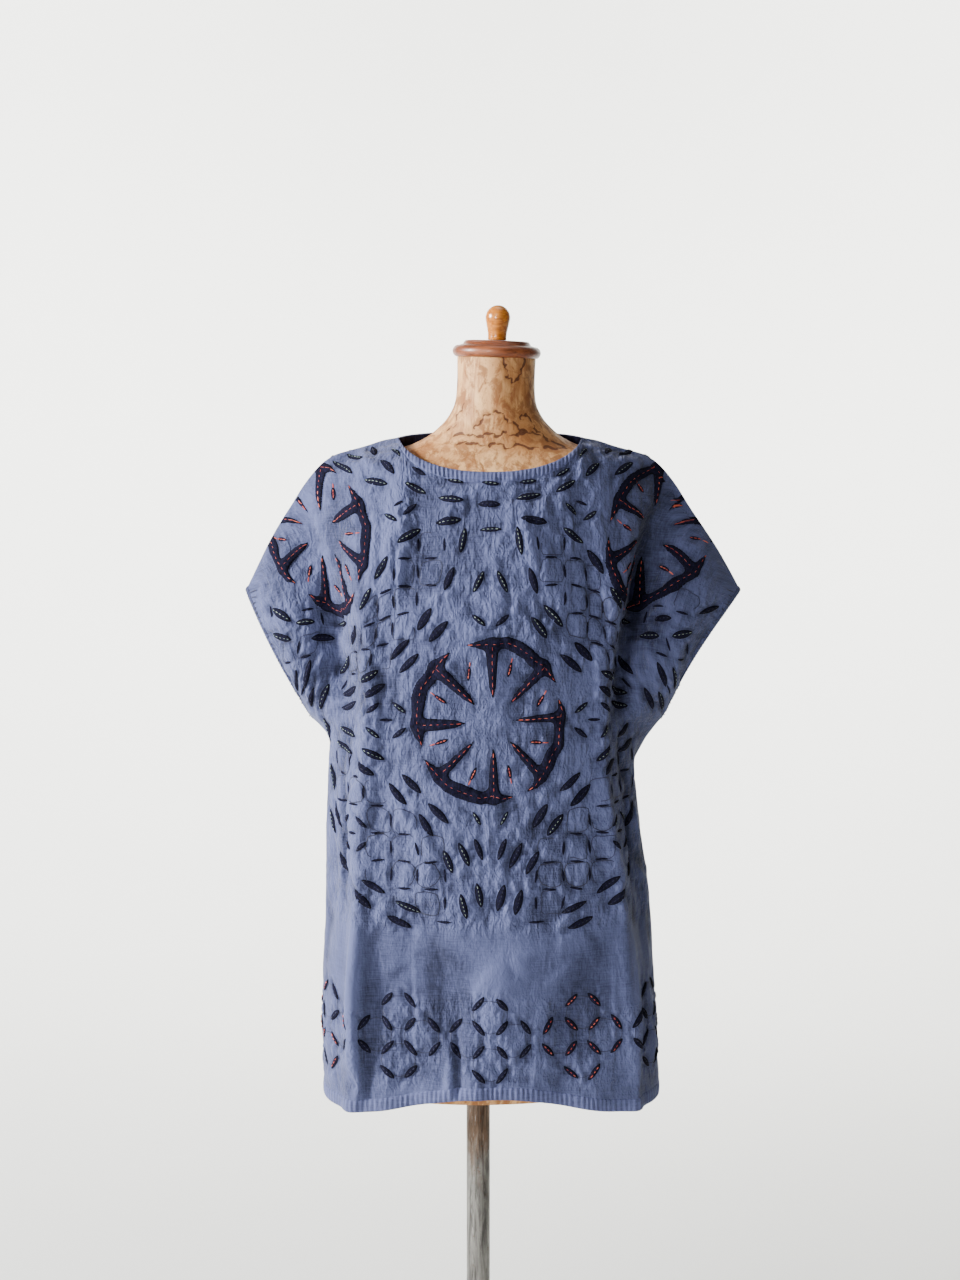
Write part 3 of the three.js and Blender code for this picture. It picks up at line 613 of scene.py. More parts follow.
def neck_leaves(cloth, rng):
    """Leaves in rows that follow the neckline, out from its middle, in the cloth's own mm."""
    leaves = []
    for sign in (-1, 1):
        x = sign * np.linspace(0, NECK_HALF, 60)
        edge = np.stack([x, cloth.top_y(x)], -1)
        step = np.gradient(edge, axis=0)
        under = sign * np.stack([step[:, 1], -step[:, 0]], -1) / np.hypot(*step.T)[:, None]
        for distance, gap, length, width in NECK_ROWS:
            places, ways = along_line(edge + distance * under, gap, -sign * gap / 2)
            for place, way in zip(places, ways):
                lean = math.atan2(way[1], way[0]) + rng.normal(0, 0.07)
                way = np.array([math.cos(lean), math.sin(lean)])
                leaf = (place + rng.normal(0, 1.6, 2), way, length * rng.uniform(0.9, 1.1), width)
                if not crowded(leaf, leaves):
                    leaves.append(leaf)
    return leaves


def field_leaves(cloth, rng):
    """Leaves of the field: middle, direction, length and width in the cloth's own mm."""
    kept = neck_leaves(cloth, rng)
    wanted = []
    for sign in (-1, 1):
        for x, y, angle, length, width in LONE_LEAVES:
            if x or sign > 0:
                lean = angle if sign > 0 else 180 - angle
                wanted.append((x * sign, y, lean, length, width, SMALL_FROM_WHEEL))
        for x, y, reach, rise in QUARTETS:
            wanted.append((x * sign, y, 0, 13, 3, SMALL_FROM_WHEEL))
            for i, j in ((-1, 1), (1, 1), (-1, -1), (1, -1)):
                place = (x * sign + i * reach, y + j * rise)
                wanted.append((*place, -38 * i * j, 18, 5, SMALL_FROM_WHEEL))
        for radius, first, step, count, length, width in SLEEVE_RINGS:
            for k in range(count):
                out = first + k * step + rng.normal(0, 2)
                x = sign * (WHEEL_STEP + radius * math.sin(math.radians(out)))
                y = WHEEL_STEP - radius * math.cos(math.radians(out))
                wanted.append((x, y, sign * out, length, width, RING_FROM_WHEEL))
    for i, j, first, pairs in RINGS:
        for k in range(pairs):
            for radius in RING_RADII:
                way = math.radians(first + k * 360 / pairs + rng.normal(0, 0.5))
                x = i * WHEEL_STEP + radius * math.cos(way)
                y = j * WHEEL_STEP + radius * math.sin(way)
                if abs(x) < BARE_MIDDLE[0] and y < BARE_MIDDLE[1]:
                    continue
                lean = math.degrees(way) + 90 + rng.normal(0, 4)
                length = RING_LEAF[0] + rng.normal(0, 1.6)
                width = RING_LEAF[1] * rng.uniform(0.85, 1.1)
                wanted.append((x, y, lean, length, width, RING_FROM_WHEEL))
    for x, y, angle, length, width, from_wheel in wanted:
        leaf = (*on_cloth(x, y, angle, length), width)
        across, up = leaf[0]
        left, right = cloth.reach_x(up)
        margin = 12 if up > 0 else 34
        in_field = left + margin < across < right - margin and FIELD_LOW - 4 < y < 400
        in_field = in_field and up < cloth.top_y(across) - 9
        if in_field and ring_distances(x, y)[0] > from_wheel and not crowded(leaf, kept):
            kept.append(leaf)
    return kept


def lattice(cloth, leaves, rng):
    """Short slits and rounded stitch lines between two rings, on a square grid."""
    slits, lines = [], []
    pitch, half = LATTICE_PITCH, LATTICE_PITCH / 2
    spots = np.array([leaf[0] for leaf in leaves])

    def inside(x, y):
        rings = ring_distances(x, y)
        across, up = to_flat(x, y)
        left, right = cloth.reach_x(float(up))
        clear = np.hypot(spots[:, 0] - across, spots[:, 1] - up).min() > 12.5
        on_sleeve = abs(x) > SLEEVE_LATTICE_FROM and up > 10
        margin = 14 if on_sleeve else 30
        in_field = left + margin < across < right - margin
        in_field = in_field and up < cloth.top_y(across) - 26 and y > FIELD_LOW + 10
        between = rings[0] > LATTICE_FROM_RING and (rings[1] < LATTICE_TO_NEXT or on_sleeve)
        return between and clear and in_field

    for sign in (-1, 1):
        for i in range(12):
            for j in range(-9, 10):
                x, y = sign * (LATTICE_START[0] + i * pitch), j * pitch + LATTICE_START[1]
                beside, above = x + sign * half, y + half
                for place, lean in (((beside, y), 0), ((x, above), 90)):
                    if inside(*place):
                        slit = on_cloth(*place, lean + rng.normal(0, 5), SLIT[0])
                        slits.append((*slit, SLIT[1]))
                if inside(beside, above):
                    lines.append(rounded_line(beside, above, rng))
    return slits, lines


def rounded_line(x, y, rng):
    """Part of a rounded square, drawn unevenly round a place of the lattice."""
    start = rng.uniform(0, 360)
    turn = np.radians(start + np.arange(0, rng.choice([130, 200, 270, 361]), 12))
    square = np.maximum(np.abs(np.cos(turn)), np.abs(np.sin(turn)))
    bulge = 0.44 * LATTICE_PITCH / square**0.55
    bulge = bulge + rng.uniform(0.7, 1.7) * np.sin(turn * rng.integers(2, 5) + start)
    x, y = x + rng.normal(0, 1.3), y + rng.normal(0, 1.3)
    return x + bulge * np.cos(turn), y + bulge * np.sin(turn)


def hem_border():
    """Leaves of the groups above the hem, leaning to and fro, with the group's number."""
    rows = []
    for group in HEM_GROUPS:
        for row in range(4):
            for column in range(4):
                if row in (0, 3) and column in (0, 3):
                    continue
                x = (column - 1.5) * HEM_LEAF_STEPS[0] + group * HEM_GROUP_PITCH
                y = (1.5 - row) * HEM_LEAF_STEPS[1]
                lean = 50 if (row + column) % 2 else -50
                rows.append((x, y, lean, 19.5, 6.3, group))
    return rows


def leaf_grid(length, width, stations=11, across=5):
    """Places along and across a leaf, and how full it is there."""
    t = np.sin(np.linspace(-math.pi / 2, math.pi / 2, stations))
    s = np.linspace(-1, 1, across)
    half = width / 2 * np.maximum(1 - np.abs(t) ** 2, 0.0) ** 0.7 + 0.12
    along = np.repeat((t * length / 2)[:, None], across, 1)
    sideways = half[:, None] * s[None, :]
    full = (1 - s[None, :] ** 2) * (half[:, None] / half.max())
    return along, sideways, full


class Pattern:
    """The cut-work of one panel: its pieces, and how it draws the cloth in round them."""

    def __init__(self, cloth, seed):
        self.cloth = cloth
        rng = np.random.default_rng(seed)
        self.leaves = field_leaves(cloth, rng)
        self.slits, self.loops = lattice(cloth, self.leaves, rng)
        hem_y = np.interp(0, cloth.x[0], cloth.y[0])
        self.hem_leaves = []
        for x, y, angle, length, width, group in hem_border():
            way = math.radians(angle + rng.normal(0, 4))
            self.hem_leaves.append((
                np.array([x, y + hem_y + HEM_GROUP_ABOVE_HEM]),
                np.array([math.cos(way), math.sin(way)]),
                length * rng.uniform(0.9, 1.1),
                width * rng.uniform(0.85, 1.1),
                group,
            ))
        self.hooks = [
            (name, hook_lines(wheel["turn"] + quarter * 90 + rng.normal(0, 1.2), rng))
            for name, wheel in WHEELS.items()
            for quarter in range(4)
        ]

    def all_leaves(self):
        return self.leaves + self.slits + [leaf[:4] for leaf in self.hem_leaves]

    def draw_in(self):
        """How the stitching moves the cloth: grooves round each piece, ripples beside leaves."""
        cloth = self.cloth
        rise = np.zeros(cloth.x.shape)
        for middle, way, length, width in self.all_leaves():
            dx, dy = cloth.x - middle[0], cloth.y - middle[1]
            near = (np.abs(dx) < length) & (np.abs(dy) < length)
            dx, dy = dx[near], dy[near]
            along, sideways = dx * way[0] + dy * way[1], -dx * way[1] + dy * way[0]
            ring = np.hypot(along / (length / 2 + 1.2), sideways / (width / 2 + 1.4))
            edge = (ring - 1) * (width / 2 + 1.4)
            rise[near] -= (1.15 if width > 3 else 0.9) * np.exp(-((edge / 1.35) ** 2))
            ripple = np.cos(np.arctan2(sideways, along) * 7) * np.exp(-((edge - 3) / 3.5) ** 2)
            rise[near] += 0.6 * ripple * (width > 3)
        for name, lines in self.hooks:
            wheel = WHEELS[name]
            x = (cloth.shares[None, :] - wheel["share"]) * wheel["per_share"] + cloth.y * 0
            y = (cloth.y - wheel["above"]) / wheel["stretch"]
            near = np.hypot(x, y) < 98
            edge = hook_distance(lines, x[near], y[near]) - 1.0
            rise[near] -= 1.0 * np.exp(-((edge / 1.6) ** 2))
        for x, y in self.loops:
            x, y = to_flat(x, y)
            near = (np.abs(cloth.x - x.mean()) < 22) & (np.abs(cloth.y - y.mean()) < 22)
            away = np.hypot(cloth.x[near, None] - x, cloth.y[near, None] - y).min(1)
            rise[near] -= 0.75 * np.exp(-((away / 1.5) ** 2))
        return rise


def lay_leaves(cloth, rows, dark, rng):
    """Puffed dark leaves a little proud of the cloth's face."""
    for middle, way, length, width in rows:
        along, sideways, full = leaf_grid(length, width)
        bend = rng.normal(0, 0.012) * (along**2 / 6)
        x = middle[0] + along * way[0] - (sideways + bend) * way[1]
        y = middle[1] + along * way[1] + (sideways + bend) * way[0]
        lift = 0.34 + 0.62 * full * min(width / 5, 1.1)
        points = cloth.at(x, y, lift)
        # The tone is painted shade: it grows towards the leaf's low edges and tips.
        dark.add(points, grid_faces(*along.shape), flat_uv(x, y), 1 - full)


def lay_stitches(cloth, batch, starts, ways, length, width, lift, rng):
    """Short raised stitches: each a domed dash along its way."""
    t, s = np.meshgrid(np.linspace(-1, 1, 4), np.linspace(-1, 1, 3), indexing="ij")
    dome = (1 - t**4 * 0.8) * (1 - s**2)
    for (x, y), way in zip(starts, ways):
        size = length * rng.uniform(0.8, 1.2)
        half = width / 2 * (1 - 0.45 * t**4)
        px = x + t * size / 2 * way[0] - s * half * way[1]
        py = y + t * size / 2 * way[1] + s * half * way[0]
        points = cloth.at(px, py, lift + dome * width * 0.75)
        batch.add(points, grid_faces(4, 3), flat_uv(px, py), rng.uniform())


def lay_line(cloth, batch, x, y, width, lift, tone=0.5):
    """A thin flat ribbon along a path in the cloth's own coordinates."""
    dx, dy = np.gradient(x), np.gradient(y)
    size = np.maximum(np.hypot(dx, dy), 1e-6)
    nx, ny = -dy / size, dx / size
    s = np.array([-0.5, 0, 0.5]) * width
    px, py = x[:, None] + nx[:, None] * s, y[:, None] + ny[:, None] * s
    points = cloth.at(px, py, lift + 0.25 * width * np.array([0, 1, 0])[None, :] + 0 * px)
    batch.add(points, grid_faces(len(x), 3), flat_uv(px, py), tone)


def patch_from(distance, low, high, pitch):
    """A flat mesh of the inside of an outline: places, faces and how deep inside each lies."""
    xs = np.arange(low[0], high[0] + pitch, pitch)
    ys = np.arange(low[1], high[1] + pitch, pitch)
    y, x = np.meshgrid(ys, xs, indexing="ij")
    away = distance(x, y)
    gy, gx = np.gradient(away, pitch)
    size = np.maximum(np.hypot(gx, gy), 0.3)
    edge = (away > -0.45 * pitch) & (away < 1.5 * pitch)
    x = np.where(edge, x - away * gx / size**2, x)
    y = np.where(edge, y - away * gy / size**2, y)
    inside = away < 0.62 * pitch
    quads = grid_faces(len(ys), len(xs))
    quads = quads[inside.ravel()[quads].all(1)]
    used, index = np.unique(quads, return_inverse=True)
    depth = np.maximum(-away.ravel()[used], 0)
    depth[edge.ravel()[used]] = 0
    return x.ravel()[used], y.ravel()[used], index.reshape(-1, 4), depth


def lay_hook(cloth, dark, wheel, lines, rng):
    """A hook as a puffed dark patch that ends at the panel's top edge."""
    corners = np.concatenate(lines)[:, :2]
    low, high = corners.min(0) - 8, corners.max(0) + 8

    def distance(x, y):
        away = hook_distance(lines, x, y)
        across, up = wheel_flat(cloth, wheel, x, y)
        return np.maximum(away, up - cloth.top_y(across) + 1.5)

    x, y, faces, depth = patch_from(distance, low, high, 1.25)
    if not len(faces):
        return
    across, up = wheel_flat(cloth, wheel, x, y)
    puff = 1 - np.exp(-depth / 1.8)
    wrinkle = 0.16 * np.sin(x * 0.9 + y * 0.35 + rng.uniform(0, 6)) * np.sin(y * 0.7 - x * 0.2)
    lift = 0.36 + puff * (0.85 + wrinkle)
    # The tone is painted shade, highest at the hook's rim where the patch sinks to the cloth.
    dark.add(cloth.at(across, up, lift), faces, flat_uv(across, up), 1 - puff)


def along_line(line, gap, start=0.0):
    """Even places and directions along a polyline of x, y rows."""
    steps = np.hypot(*np.diff(line[:, :2], axis=0).T)
    total = np.concatenate([[0], np.cumsum(steps)])
    at = np.arange(start + gap / 2, total[-1] - 1.5, gap)
    x, y = np.interp(at, total, line[:, 0]), np.interp(at, total, line[:, 1])
    x2, y2 = np.interp(at + 1, total, line[:, 0]), np.interp(at + 1, total, line[:, 1])
    way = np.stack([x2 - x, y2 - y], -1)
    return np.stack([x, y], -1), way / np.maximum(np.hypot(*way.T), 1e-6)[:, None]


# ------------------------------------------------------------------ creases of the cloth
# Soft creases in the cloth's own mm: middle, angle, length, width, rise.
CREASES = {
    "front": [
        (-42, -292, 88, 190, 22, -7), (-147, -292, 90, 260, 7, 6), (-120, -290, 88, 240, 13, -6),
        (8, -268, 72, 150, 20, 5), (96, -296, 95, 190, 20, -3.4), (163, -292, 91, 250, 8, 5.5),
        (-104, 190, 84, 210, 14, 5.5), (-62, 204, 86, 180, 22, -6), (118, 190, 97, 190, 12, 5),
        (-34, -352, 90, 116, 4.4, -5.5), (-44, -350, 90, 100, 6, 3),
        (-166, -112, 91, 210, 4.5, -4.5), (-150, -104, 89, 190, 8, 2.6),
        (172, -120, 88, 210, 5, -3.5), (-20, 205, 82, 130, 20, -4), (44, 186, 100, 150, 18, 3.4),
        (-78, -300, 89, 150, 3.0, 1.5), (-74, -212, 80, 60, 6, 1.6),
        (42, -318, 86, 120, 5, -1.3), (96, -330, 93, 110, 4, -1.6), (131, -300, 90, 160, 3.2, 1.8),
        (-8, -262, 62, 66, 7, 1.8), (24, -246, -58, 52, 6, -1.5), (-52, -236, 118, 46, 5, -1.4),
        (70, -254, 40, 58, 6, 1.4), (-104, -262, 55, 70, 6, -1.8), (-118, -196, 62, 90, 5, 1.7),
        (108, -214, -60, 80, 5.5, -1.5), (-22, 236, 91, 64, 3.4, -3.4), (-44, 226, 84, 78, 4.5, 2.0),
        (8, 232, 90, 70, 4, -1.6), (33, 226, 96, 74, 4, 1.8), (62, 236, 104, 80, 4.2, -1.8),
        (190, 180, 96, 230, 15, -6.5), (148, 190, 88, 220, 6, 2.8), (222, 150, 108, 150, 9, 2.5),
        (-168, 196, 84, 170, 13, -5.5), (-122, 186, 91, 170, 5, 2.6), (-206, 150, 70, 130, 9, 2.2),
        (-70, 214, 76, 92, 5, -2.2), (-92, 176, 84, 110, 5, 1.9), (84, 196, 98, 104, 5, 1.7),
        (104, 150, 92, 120, 4.5, -1.7), (-108, 96, 88, 130, 4.5, -1.8), (112, 60, 92, 120, 4.2, 1.6),
        (-118, 10, 90, 110, 4.2, 1.8), (-58, 120, 70, 70, 5, 1.3), (60, 116, 112, 66, 5, -1.3),
        (-60, 60, 64, 54, 5, -1.4), (74, -66, 54, 62, 5, 1.4), (-88, -84, 122, 66, 5, 1.5),
        (20, -120, 78, 52, 5, -1.2), (-30, -150, 96, 70, 5, 1.3), (58, -160, 84, 72, 5, -1.4),
        (-98, -150, 76, 84, 4.6, -1.7), (98, -140, 98, 84, 4.6, 1.6), (-172, -30, 60, 96, 7, -2.6),
        (-150, -70, 56, 110, 6.5, 2.4), (-188, -96, 64, 90, 7, 2.2), (164, -44, 118, 92, 7, -2.4),
        (178, -92, 112, 96, 6.5, 2.2), (-212, 30, 22, 66, 6, -2.2), (-222, 62, 34, 74, 6, 2.0),
        (214, 30, 158, 62, 6, -2.2), (226, 66, 148, 72, 6, 2.0), (-184, 130, 68, 84, 6, -1.9),
        (-162, 196, 78, 90, 6, 1.8), (186, 150, 108, 96, 6, -2.2), (160, 214, 100, 84, 5.5, 1.8),
        (-206, -222, 84, 120, 8, -2.2), (206, -214, 94, 120, 8, -2.2), (-196, -330, 92, 96, 7, 1.8),
        (200, -322, 88, 110, 7, 1.9), (-140, -366, 100, 70, 5, 1.5), (164, -372, 84, 66, 5, -1.5),
    ],
    "back": [
        (-30, -330, 88, 130, 5, -1.8), (44, -344, 93, 110, 4.5, 1.7), (-96, -310, 84, 120, 5, 1.8),
        (104, -290, 95, 140, 5, -1.8), (4, -250, 58, 70, 7, 1.8), (-58, -224, 116, 60, 6, -1.6),
        (66, -232, 48, 66, 6, 1.6), (-128, -206, 66, 90, 6, -1.8), (132, -214, -62, 84, 6, 1.8),
        (-12, 250, 92, 60, 4, -2.2), (30, 246, 86, 66, 4.5, 1.8), (-58, 232, 80, 90, 5, 2),
        (66, 222, 98, 92, 5, -2), (-98, 160, 86, 120, 5, -1.9), (100, 150, 93, 120, 5, 1.9),
        (-112, 40, 90, 120, 5, 1.8), (116, 36, 90, 120, 5, -1.8), (-52, 104, 66, 66, 5, -1.4),
        (54, 96, 112, 70, 5, 1.4), (-80, -76, 58, 66, 5, -1.5), (84, -80, 122, 66, 5, 1.5),
        (14, -128, 84, 66, 5, 1.4), (-44, -158, 96, 74, 5, -1.4), (62, -166, 82, 74, 5, 1.4),
        (-170, -44, 58, 100, 7, 2.4), (170, -50, 122, 100, 7, 2.4), (-190, -104, 66, 90, 7, -2.2),
        (188, -106, 114, 90, 7, -2.2), (-214, 40, 28, 70, 6, 2.1), (218, 44, 152, 70, 6, 2.1),
        (-180, 150, 70, 90, 6, 2), (184, 156, 110, 90, 6, -2), (-204, -300, 88, 120, 7, -2),
        (204, -310, 92, 120, 7, 2),
    ],
}


def crease_rise(x, y, rows):
    """How far creases, each bowed a little to one side, lift or sink the cloth."""
    total = np.zeros(x.shape)
    for cx, cy, angle, length, width, rise in rows:
        way = math.radians(angle)
        dx, dy = x - cx, y - cy
        along = (dx * math.cos(way) + dy * math.sin(way)) / (length / 2)
        aside = (-dx * math.sin(way) + dy * math.cos(way)) / width
        to_one_side = np.sign(math.sin(cx * 12.9 + cy))
        bow = aside - 1.2 * along * along * to_one_side
        near = np.abs(along) < 1
        total[near] += rise * np.exp(-(bow[near] ** 2)) * (1 - along[near] ** 2) ** 2
    return total


def uneven(x, y, wide, tall, seed):
    """Smooth random heights from -1 to 1, with bumps about that wide and tall."""
    cells, shift = 97, 400
    heights = np.random.default_rng(seed).uniform(-1, 1, (cells, cells))
    u, v = x / wide + shift, y / tall + shift
    i, j = np.floor(u).astype(int), np.floor(v).astype(int)
    s, t = smoothstep(u - i, 0, 1), smoothstep(v - j, 0, 1)
    near, far = (
        lerp(heights[i % cells, k % cells], heights[(i + 1) % cells, k % cells], s) for k in (j, j + 1)
    )
    return lerp(near, far, t)


def crumple(x, y, seed):
    """Crinkles of worn, stitched cotton: sharp small ridges, mostly upright, over soft puffs."""
    x = x + 7 * uneven(x, y, 38, 52, seed) + 2.5 * uneven(x, y, 11, 17, seed + 1)
    y = y + 9 * uneven(x, y, 45, 40, seed + 2)
    ridges = 0.42 - np.abs(uneven(x, y, 17, 30, seed + 3))
    sharp = 0.42 - np.abs(uneven(x, y, 10, 15, seed + 4))
    puffs = uneven(x, y, 24, 27, seed + 5)
    slants = [
        0.42 - np.abs(uneven(x * 0.8 + y * lean, y * 0.8 - x * lean, 13, 34, seed + 6 + k))
        for k, lean in enumerate((0.6, -0.6))
    ]
    return 1.5 * ridges + 1.0 * sharp + 0.9 * puffs + 0.9 * slants[0] + 0.9 * slants[1]


def small_creases(seed, count):
    """Small uneven wrinkles, mostly upright, as more rows of the same table."""
    rng = np.random.default_rng(seed)
    rows = []
    for _ in range(count):
        upright = rng.uniform() < 0.72
        rows.append((
            rng.uniform(-270, 270), rng.uniform(-400, 300),
            rng.normal(90, 13) if upright else rng.uniform(0, 180),
            rng.uniform(16, 60), rng.uniform(1.8, 4), rng.choice([-1, 1]) * rng.uniform(0.3, 0.95),
        ))
    return rows


def field_mark(cloth):
    """1 where the stitching puckers the cloth, 0 in the plain strip and at the sides."""
    x, y = cloth.x, cloth.y
    low = FIELD_LOW + CENTRE_ABOVE
    body = smoothstep(y, low - 14, low + 8)
    hem = cloth.y[0]
    border = smoothstep(y - hem, 10, 24) * (1 - smoothstep(y - hem, 104, 122)) * 0.75
    margin = 1 - smoothstep(np.abs(x), 204, 226) * (1 - smoothstep(y, 0, 50))
    top = smoothstep(cloth.y[-1] - y, 0, 10)
    return np.maximum(body * margin, border) * lerp(0.6, 1, top)


CLOTHS, PATTERNS = {}, {}
for number, side in enumerate(("front", "back")):
    cloth = Cloth(side, 321, 152, 144)
    cloth.fold()
    cloth.flatten()
    cloth.settle()
    pattern = Pattern(cloth, 11 + number)
    field = field_mark(cloth)
    rise = crease_rise(cloth.x, cloth.y, CREASES[side])
    rise += crease_rise(cloth.x, cloth.y, small_creases(31 + number, 340)) * lerp(0.7, 1.25, field)
    rise += pattern.draw_in()
    rise += crumple(cloth.x, cloth.y, 41 + 10 * number) * lerp(0.25, 1.15, field)
    at_edge = smoothstep(cloth.y[-1] - cloth.y, 1, 9) * smoothstep(cloth.y - cloth.y[0], 0, 10)
    at_side = smoothstep(1 - np.abs(cloth.shares), 0, 0.02)[None, :]
    rise = np.clip(rise, -9, 6.5) * at_edge * at_side
    cloth.under = cloth.lining(rise)
    cloth.raise_by(rise)
    cloth.relief, cloth.field = rise, field
    cloth.settle()
    CLOTHS[side], PATTERNS[side] = cloth, pattern


# ------------------------------------------------------------------ materials
def srgb(r, g, b):
    """0 to 255 colour to linear, with alpha."""
    values = [v / 255 for v in (r, g, b)]
    return (*[v / 12.92 if v <= 0.04045 else ((v + 0.055) / 1.055) ** 2.4 for v in values], 1)


class Shader:
    """A node material in short form: sockets are named by keyword, with _ for spaces."""

    def __init__(self, name):
        self.material = bpy.data.materials.new(name)
        self.material.use_nodes = True
        self.tree = self.material.node_tree
        self.tree.nodes.clear()

    def node(self, kind, settings=None, **sockets):
        made = self.tree.nodes.new("ShaderNode" + kind)
        for key, value in (settings or {}).items():
            setattr(made, key, value)
        for key, value in sockets.items():
            place = made.inputs[int(key[2:])] if key.startswith("in") and key[2:].isdigit() else None
            place = place or made.inputs[key.replace("_", " ")]
            if isinstance(value, bpy.types.NodeSocket):
                self.tree.links.new(value, place)
            else:
                place.default_value = value
        return made

    def math(self, operation, a, b=0.0, c=0.0):
        return self.node("Math", {"operation": operation}, in0=a, in1=b, in2=c).outputs[0]

    def total(self, *parts):
        """A sum of values, each times its weight."""
        scaled = [v if weight == 1 else self.math("MULTIPLY", v, weight) for v, weight in parts]
        added = scaled[0]
        for value in scaled[1:]:
            added = self.math("ADD", added, value)
        return added

    def place(self, scale, coordinates, shift=(0, 0, 0)):
        made = self.node("Mapping", None, Vector=coordinates, Scale=scale, Location=shift)
        return made.outputs[0]

    def noise(self, coordinates, scale, detail=3.0, rough=0.55, distort=0.0, shift=(0, 0, 0), out="Fac"):
        """Noise that is finer along an axis the larger that axis's scale is."""
        made = self.node(
            "TexNoise", None, Vector=self.place(scale, coordinates, shift),
            Scale=1.0, Detail=detail, Roughness=rough, Distortion=distort,
        )
        return made.outputs[out]

    def ramp(self, value, low, high, to_low=0.0, to_high=1.0):
        made = self.node("MapRange", {"interpolation_type": "SMOOTHSTEP"}, Value=value)
        for key, number in zip(("From Min", "From Max", "To Min", "To Max"), (low, high, to_low, to_high)):
            made.inputs[key].default_value = number
        return made.outputs[0]

    def mix(self, share, a, b):
        made = self.node("Mix", {"data_type": "RGBA"})
        for place, value in ((0, share), (6, a), (7, b)):
            if isinstance(value, bpy.types.NodeSocket):
                self.tree.links.new(value, made.inputs[place])
            else:
                made.inputs[place].default_value = value
        return made.outputs[2]

    def blend(self, value, low, high, a, b, amount=1.0):
        """Colour a where a value is low, going over to b, or part of the way, where it is high."""
        return self.mix(self.ramp(value, low, high, 0, amount), a, b)

    def bump(self, height, distance, strength=1.0, normal=None):
        sockets = {"Height": height, "Distance": distance, "Strength": strength}
        if normal is not None:
            sockets["Normal"] = normal
        return self.node("Bump", None, **sockets).outputs[0]

    def mark(self, name):
        return self.node("Attribute", {"attribute_name": name}).outputs["Fac"]

    def uv(self):
        return self.node("TexCoord").outputs["UV"]

    def solid(self):
        return self.node("TexCoord").outputs["Object"]

    def finish(self, color, roughness, normal=None, **constants):
        sockets = {"Base_Color": color, "Roughness": roughness}
        if normal is not None:
            sockets["Normal"] = normal
        surface = self.node("BsdfPrincipled", None, **sockets)
        for key, value in constants.items():
            surface.inputs[key.replace("_", " ")].default_value = value
        out = self.node("OutputMaterial")
        self.tree.links.new(surface.outputs[0], out.inputs[0])
        return self.material


def weave(shader, uv, pitch):
    """Height of a plain weave with that many metres from thread to thread."""
    waves = []
    for way in ("X", "Y"):
        slub = shader.noise(uv, (900, 14, 1) if way == "X" else (14, 900, 1), 2)
        wave = shader.node(
            "TexWave", {"wave_type": "BANDS", "bands_direction": way}, Vector=uv,
            Scale=0.314 / pitch, Distortion=1.2, Detail=1.5, Detail_Scale=0.08,
        ).outputs["Fac"]
        waves.append(shader.math("MULTIPLY", wave, shader.ramp(slub, 0.25, 0.75, 0.55, 1.15)))
    return shader.math("MAXIMUM", *waves)


def cotton(name, light, dark, puckers):
    """Faded slubby cotton; puckers is how deep its fine stitched crinkles are, in metres."""
    s = Shader(name)
    uv = s.uv()
    upright = s.noise(uv, (760, 70, 1), 3, 0.65)
    level = s.noise(uv, (60, 700, 1), 3, 0.65)
    threads = s.total((upright, 0.5), (level, 0.5))
    faded = s.noise(uv, (9, 7, 1), 4, 0.6, 0.6)
    blotch = s.noise(uv, (46, 34, 1), 3, 0.6, 0.3)
    # The tone also takes the painted light mark: painted shade in the creases and grooves, painted highlight
    # on the ridges.
    tone = s.total((threads, 0.9), (faded, 0.5), (blotch, 0.24), (s.mark("worn"), 1))
    color = s.blend(tone, 0.55, 1.25, dark, light)
    ridges = []
    for scale, share in (((112, 34, 1), 0.8), ((150, 100, 1), 0.5), ((300, 170, 1), 0.35)):
        bumps = s.noise(uv, scale, 1, 0.5, 0.35, shift=(share, 2 * share, 0))
        ridges.append((s.math("ABSOLUTE", s.math("SUBTRACT", bumps, 0.5)), -2.2 * share))
    deep = s.math("MULTIPLY", s.total(*ridges), s.ramp(s.mark("field"), 0, 1, 0.32, 1))
    normal = s.bump(deep, puckers, 1.0)
    normal = s.bump(weave(s, uv, 0.00085), 0.00016, 0.75, normal)
    return s.finish(
        color, s.ramp(threads, 0.3, 0.7, 0.86, 0.95), normal,
        Sheen_Weight=0.12, Sheen_Roughness=0.45, Specular_IOR_Level=0.2,
    )


def inlay_cloth():
    s = Shader("inlay_cloth")
    uv = s.uv()
    threads = s.noise(uv, (700, 300, 1), 3, 0.6)
    inner = s.blend(threads, 0.3, 0.72, srgb(5, 5, 15), srgb(21, 20, 44))
    # Painted shade: near black where the tone mark is high, at the rims of the leaves and hooks.
    color = s.blend(s.mark("tone"), 0.45, 0.95, inner, srgb(3, 3, 7))
    normal = s.bump(s.noise(uv, (260, 260, 1), 3, 0.6), 0.0006)
    normal = s.bump(weave(s, uv, 0.00075), 0.00014, 0.8, normal)
    return s.finish(color, 0.95, normal, Specular_IOR_Level=0.12)


def under_layer():
    s = Shader("under_layer_cloth")
    uv = s.uv()
    threads = s.noise(uv, (500, 30, 1), 3, 0.6)
    color = s.blend(threads, 0.3, 0.7, srgb(22, 24, 46), srgb(44, 46, 78))
    normal = s.bump(weave(s, uv, 0.0009), 0.00018, 0.8)
    return s.finish(color, 0.94, normal, Specular_IOR_Level=0.2)


def thread(name, low, high):
    s = Shader(name)
    color = s.mix(s.mark("tone"), low, high)
    twist = s.noise(s.uv(), (2600, 2600, 1), 2)
    return s.finish(color, 0.7, s.bump(twist, 0.00012), Sheen_Weight=0.15, Specular_IOR_Level=0.35)


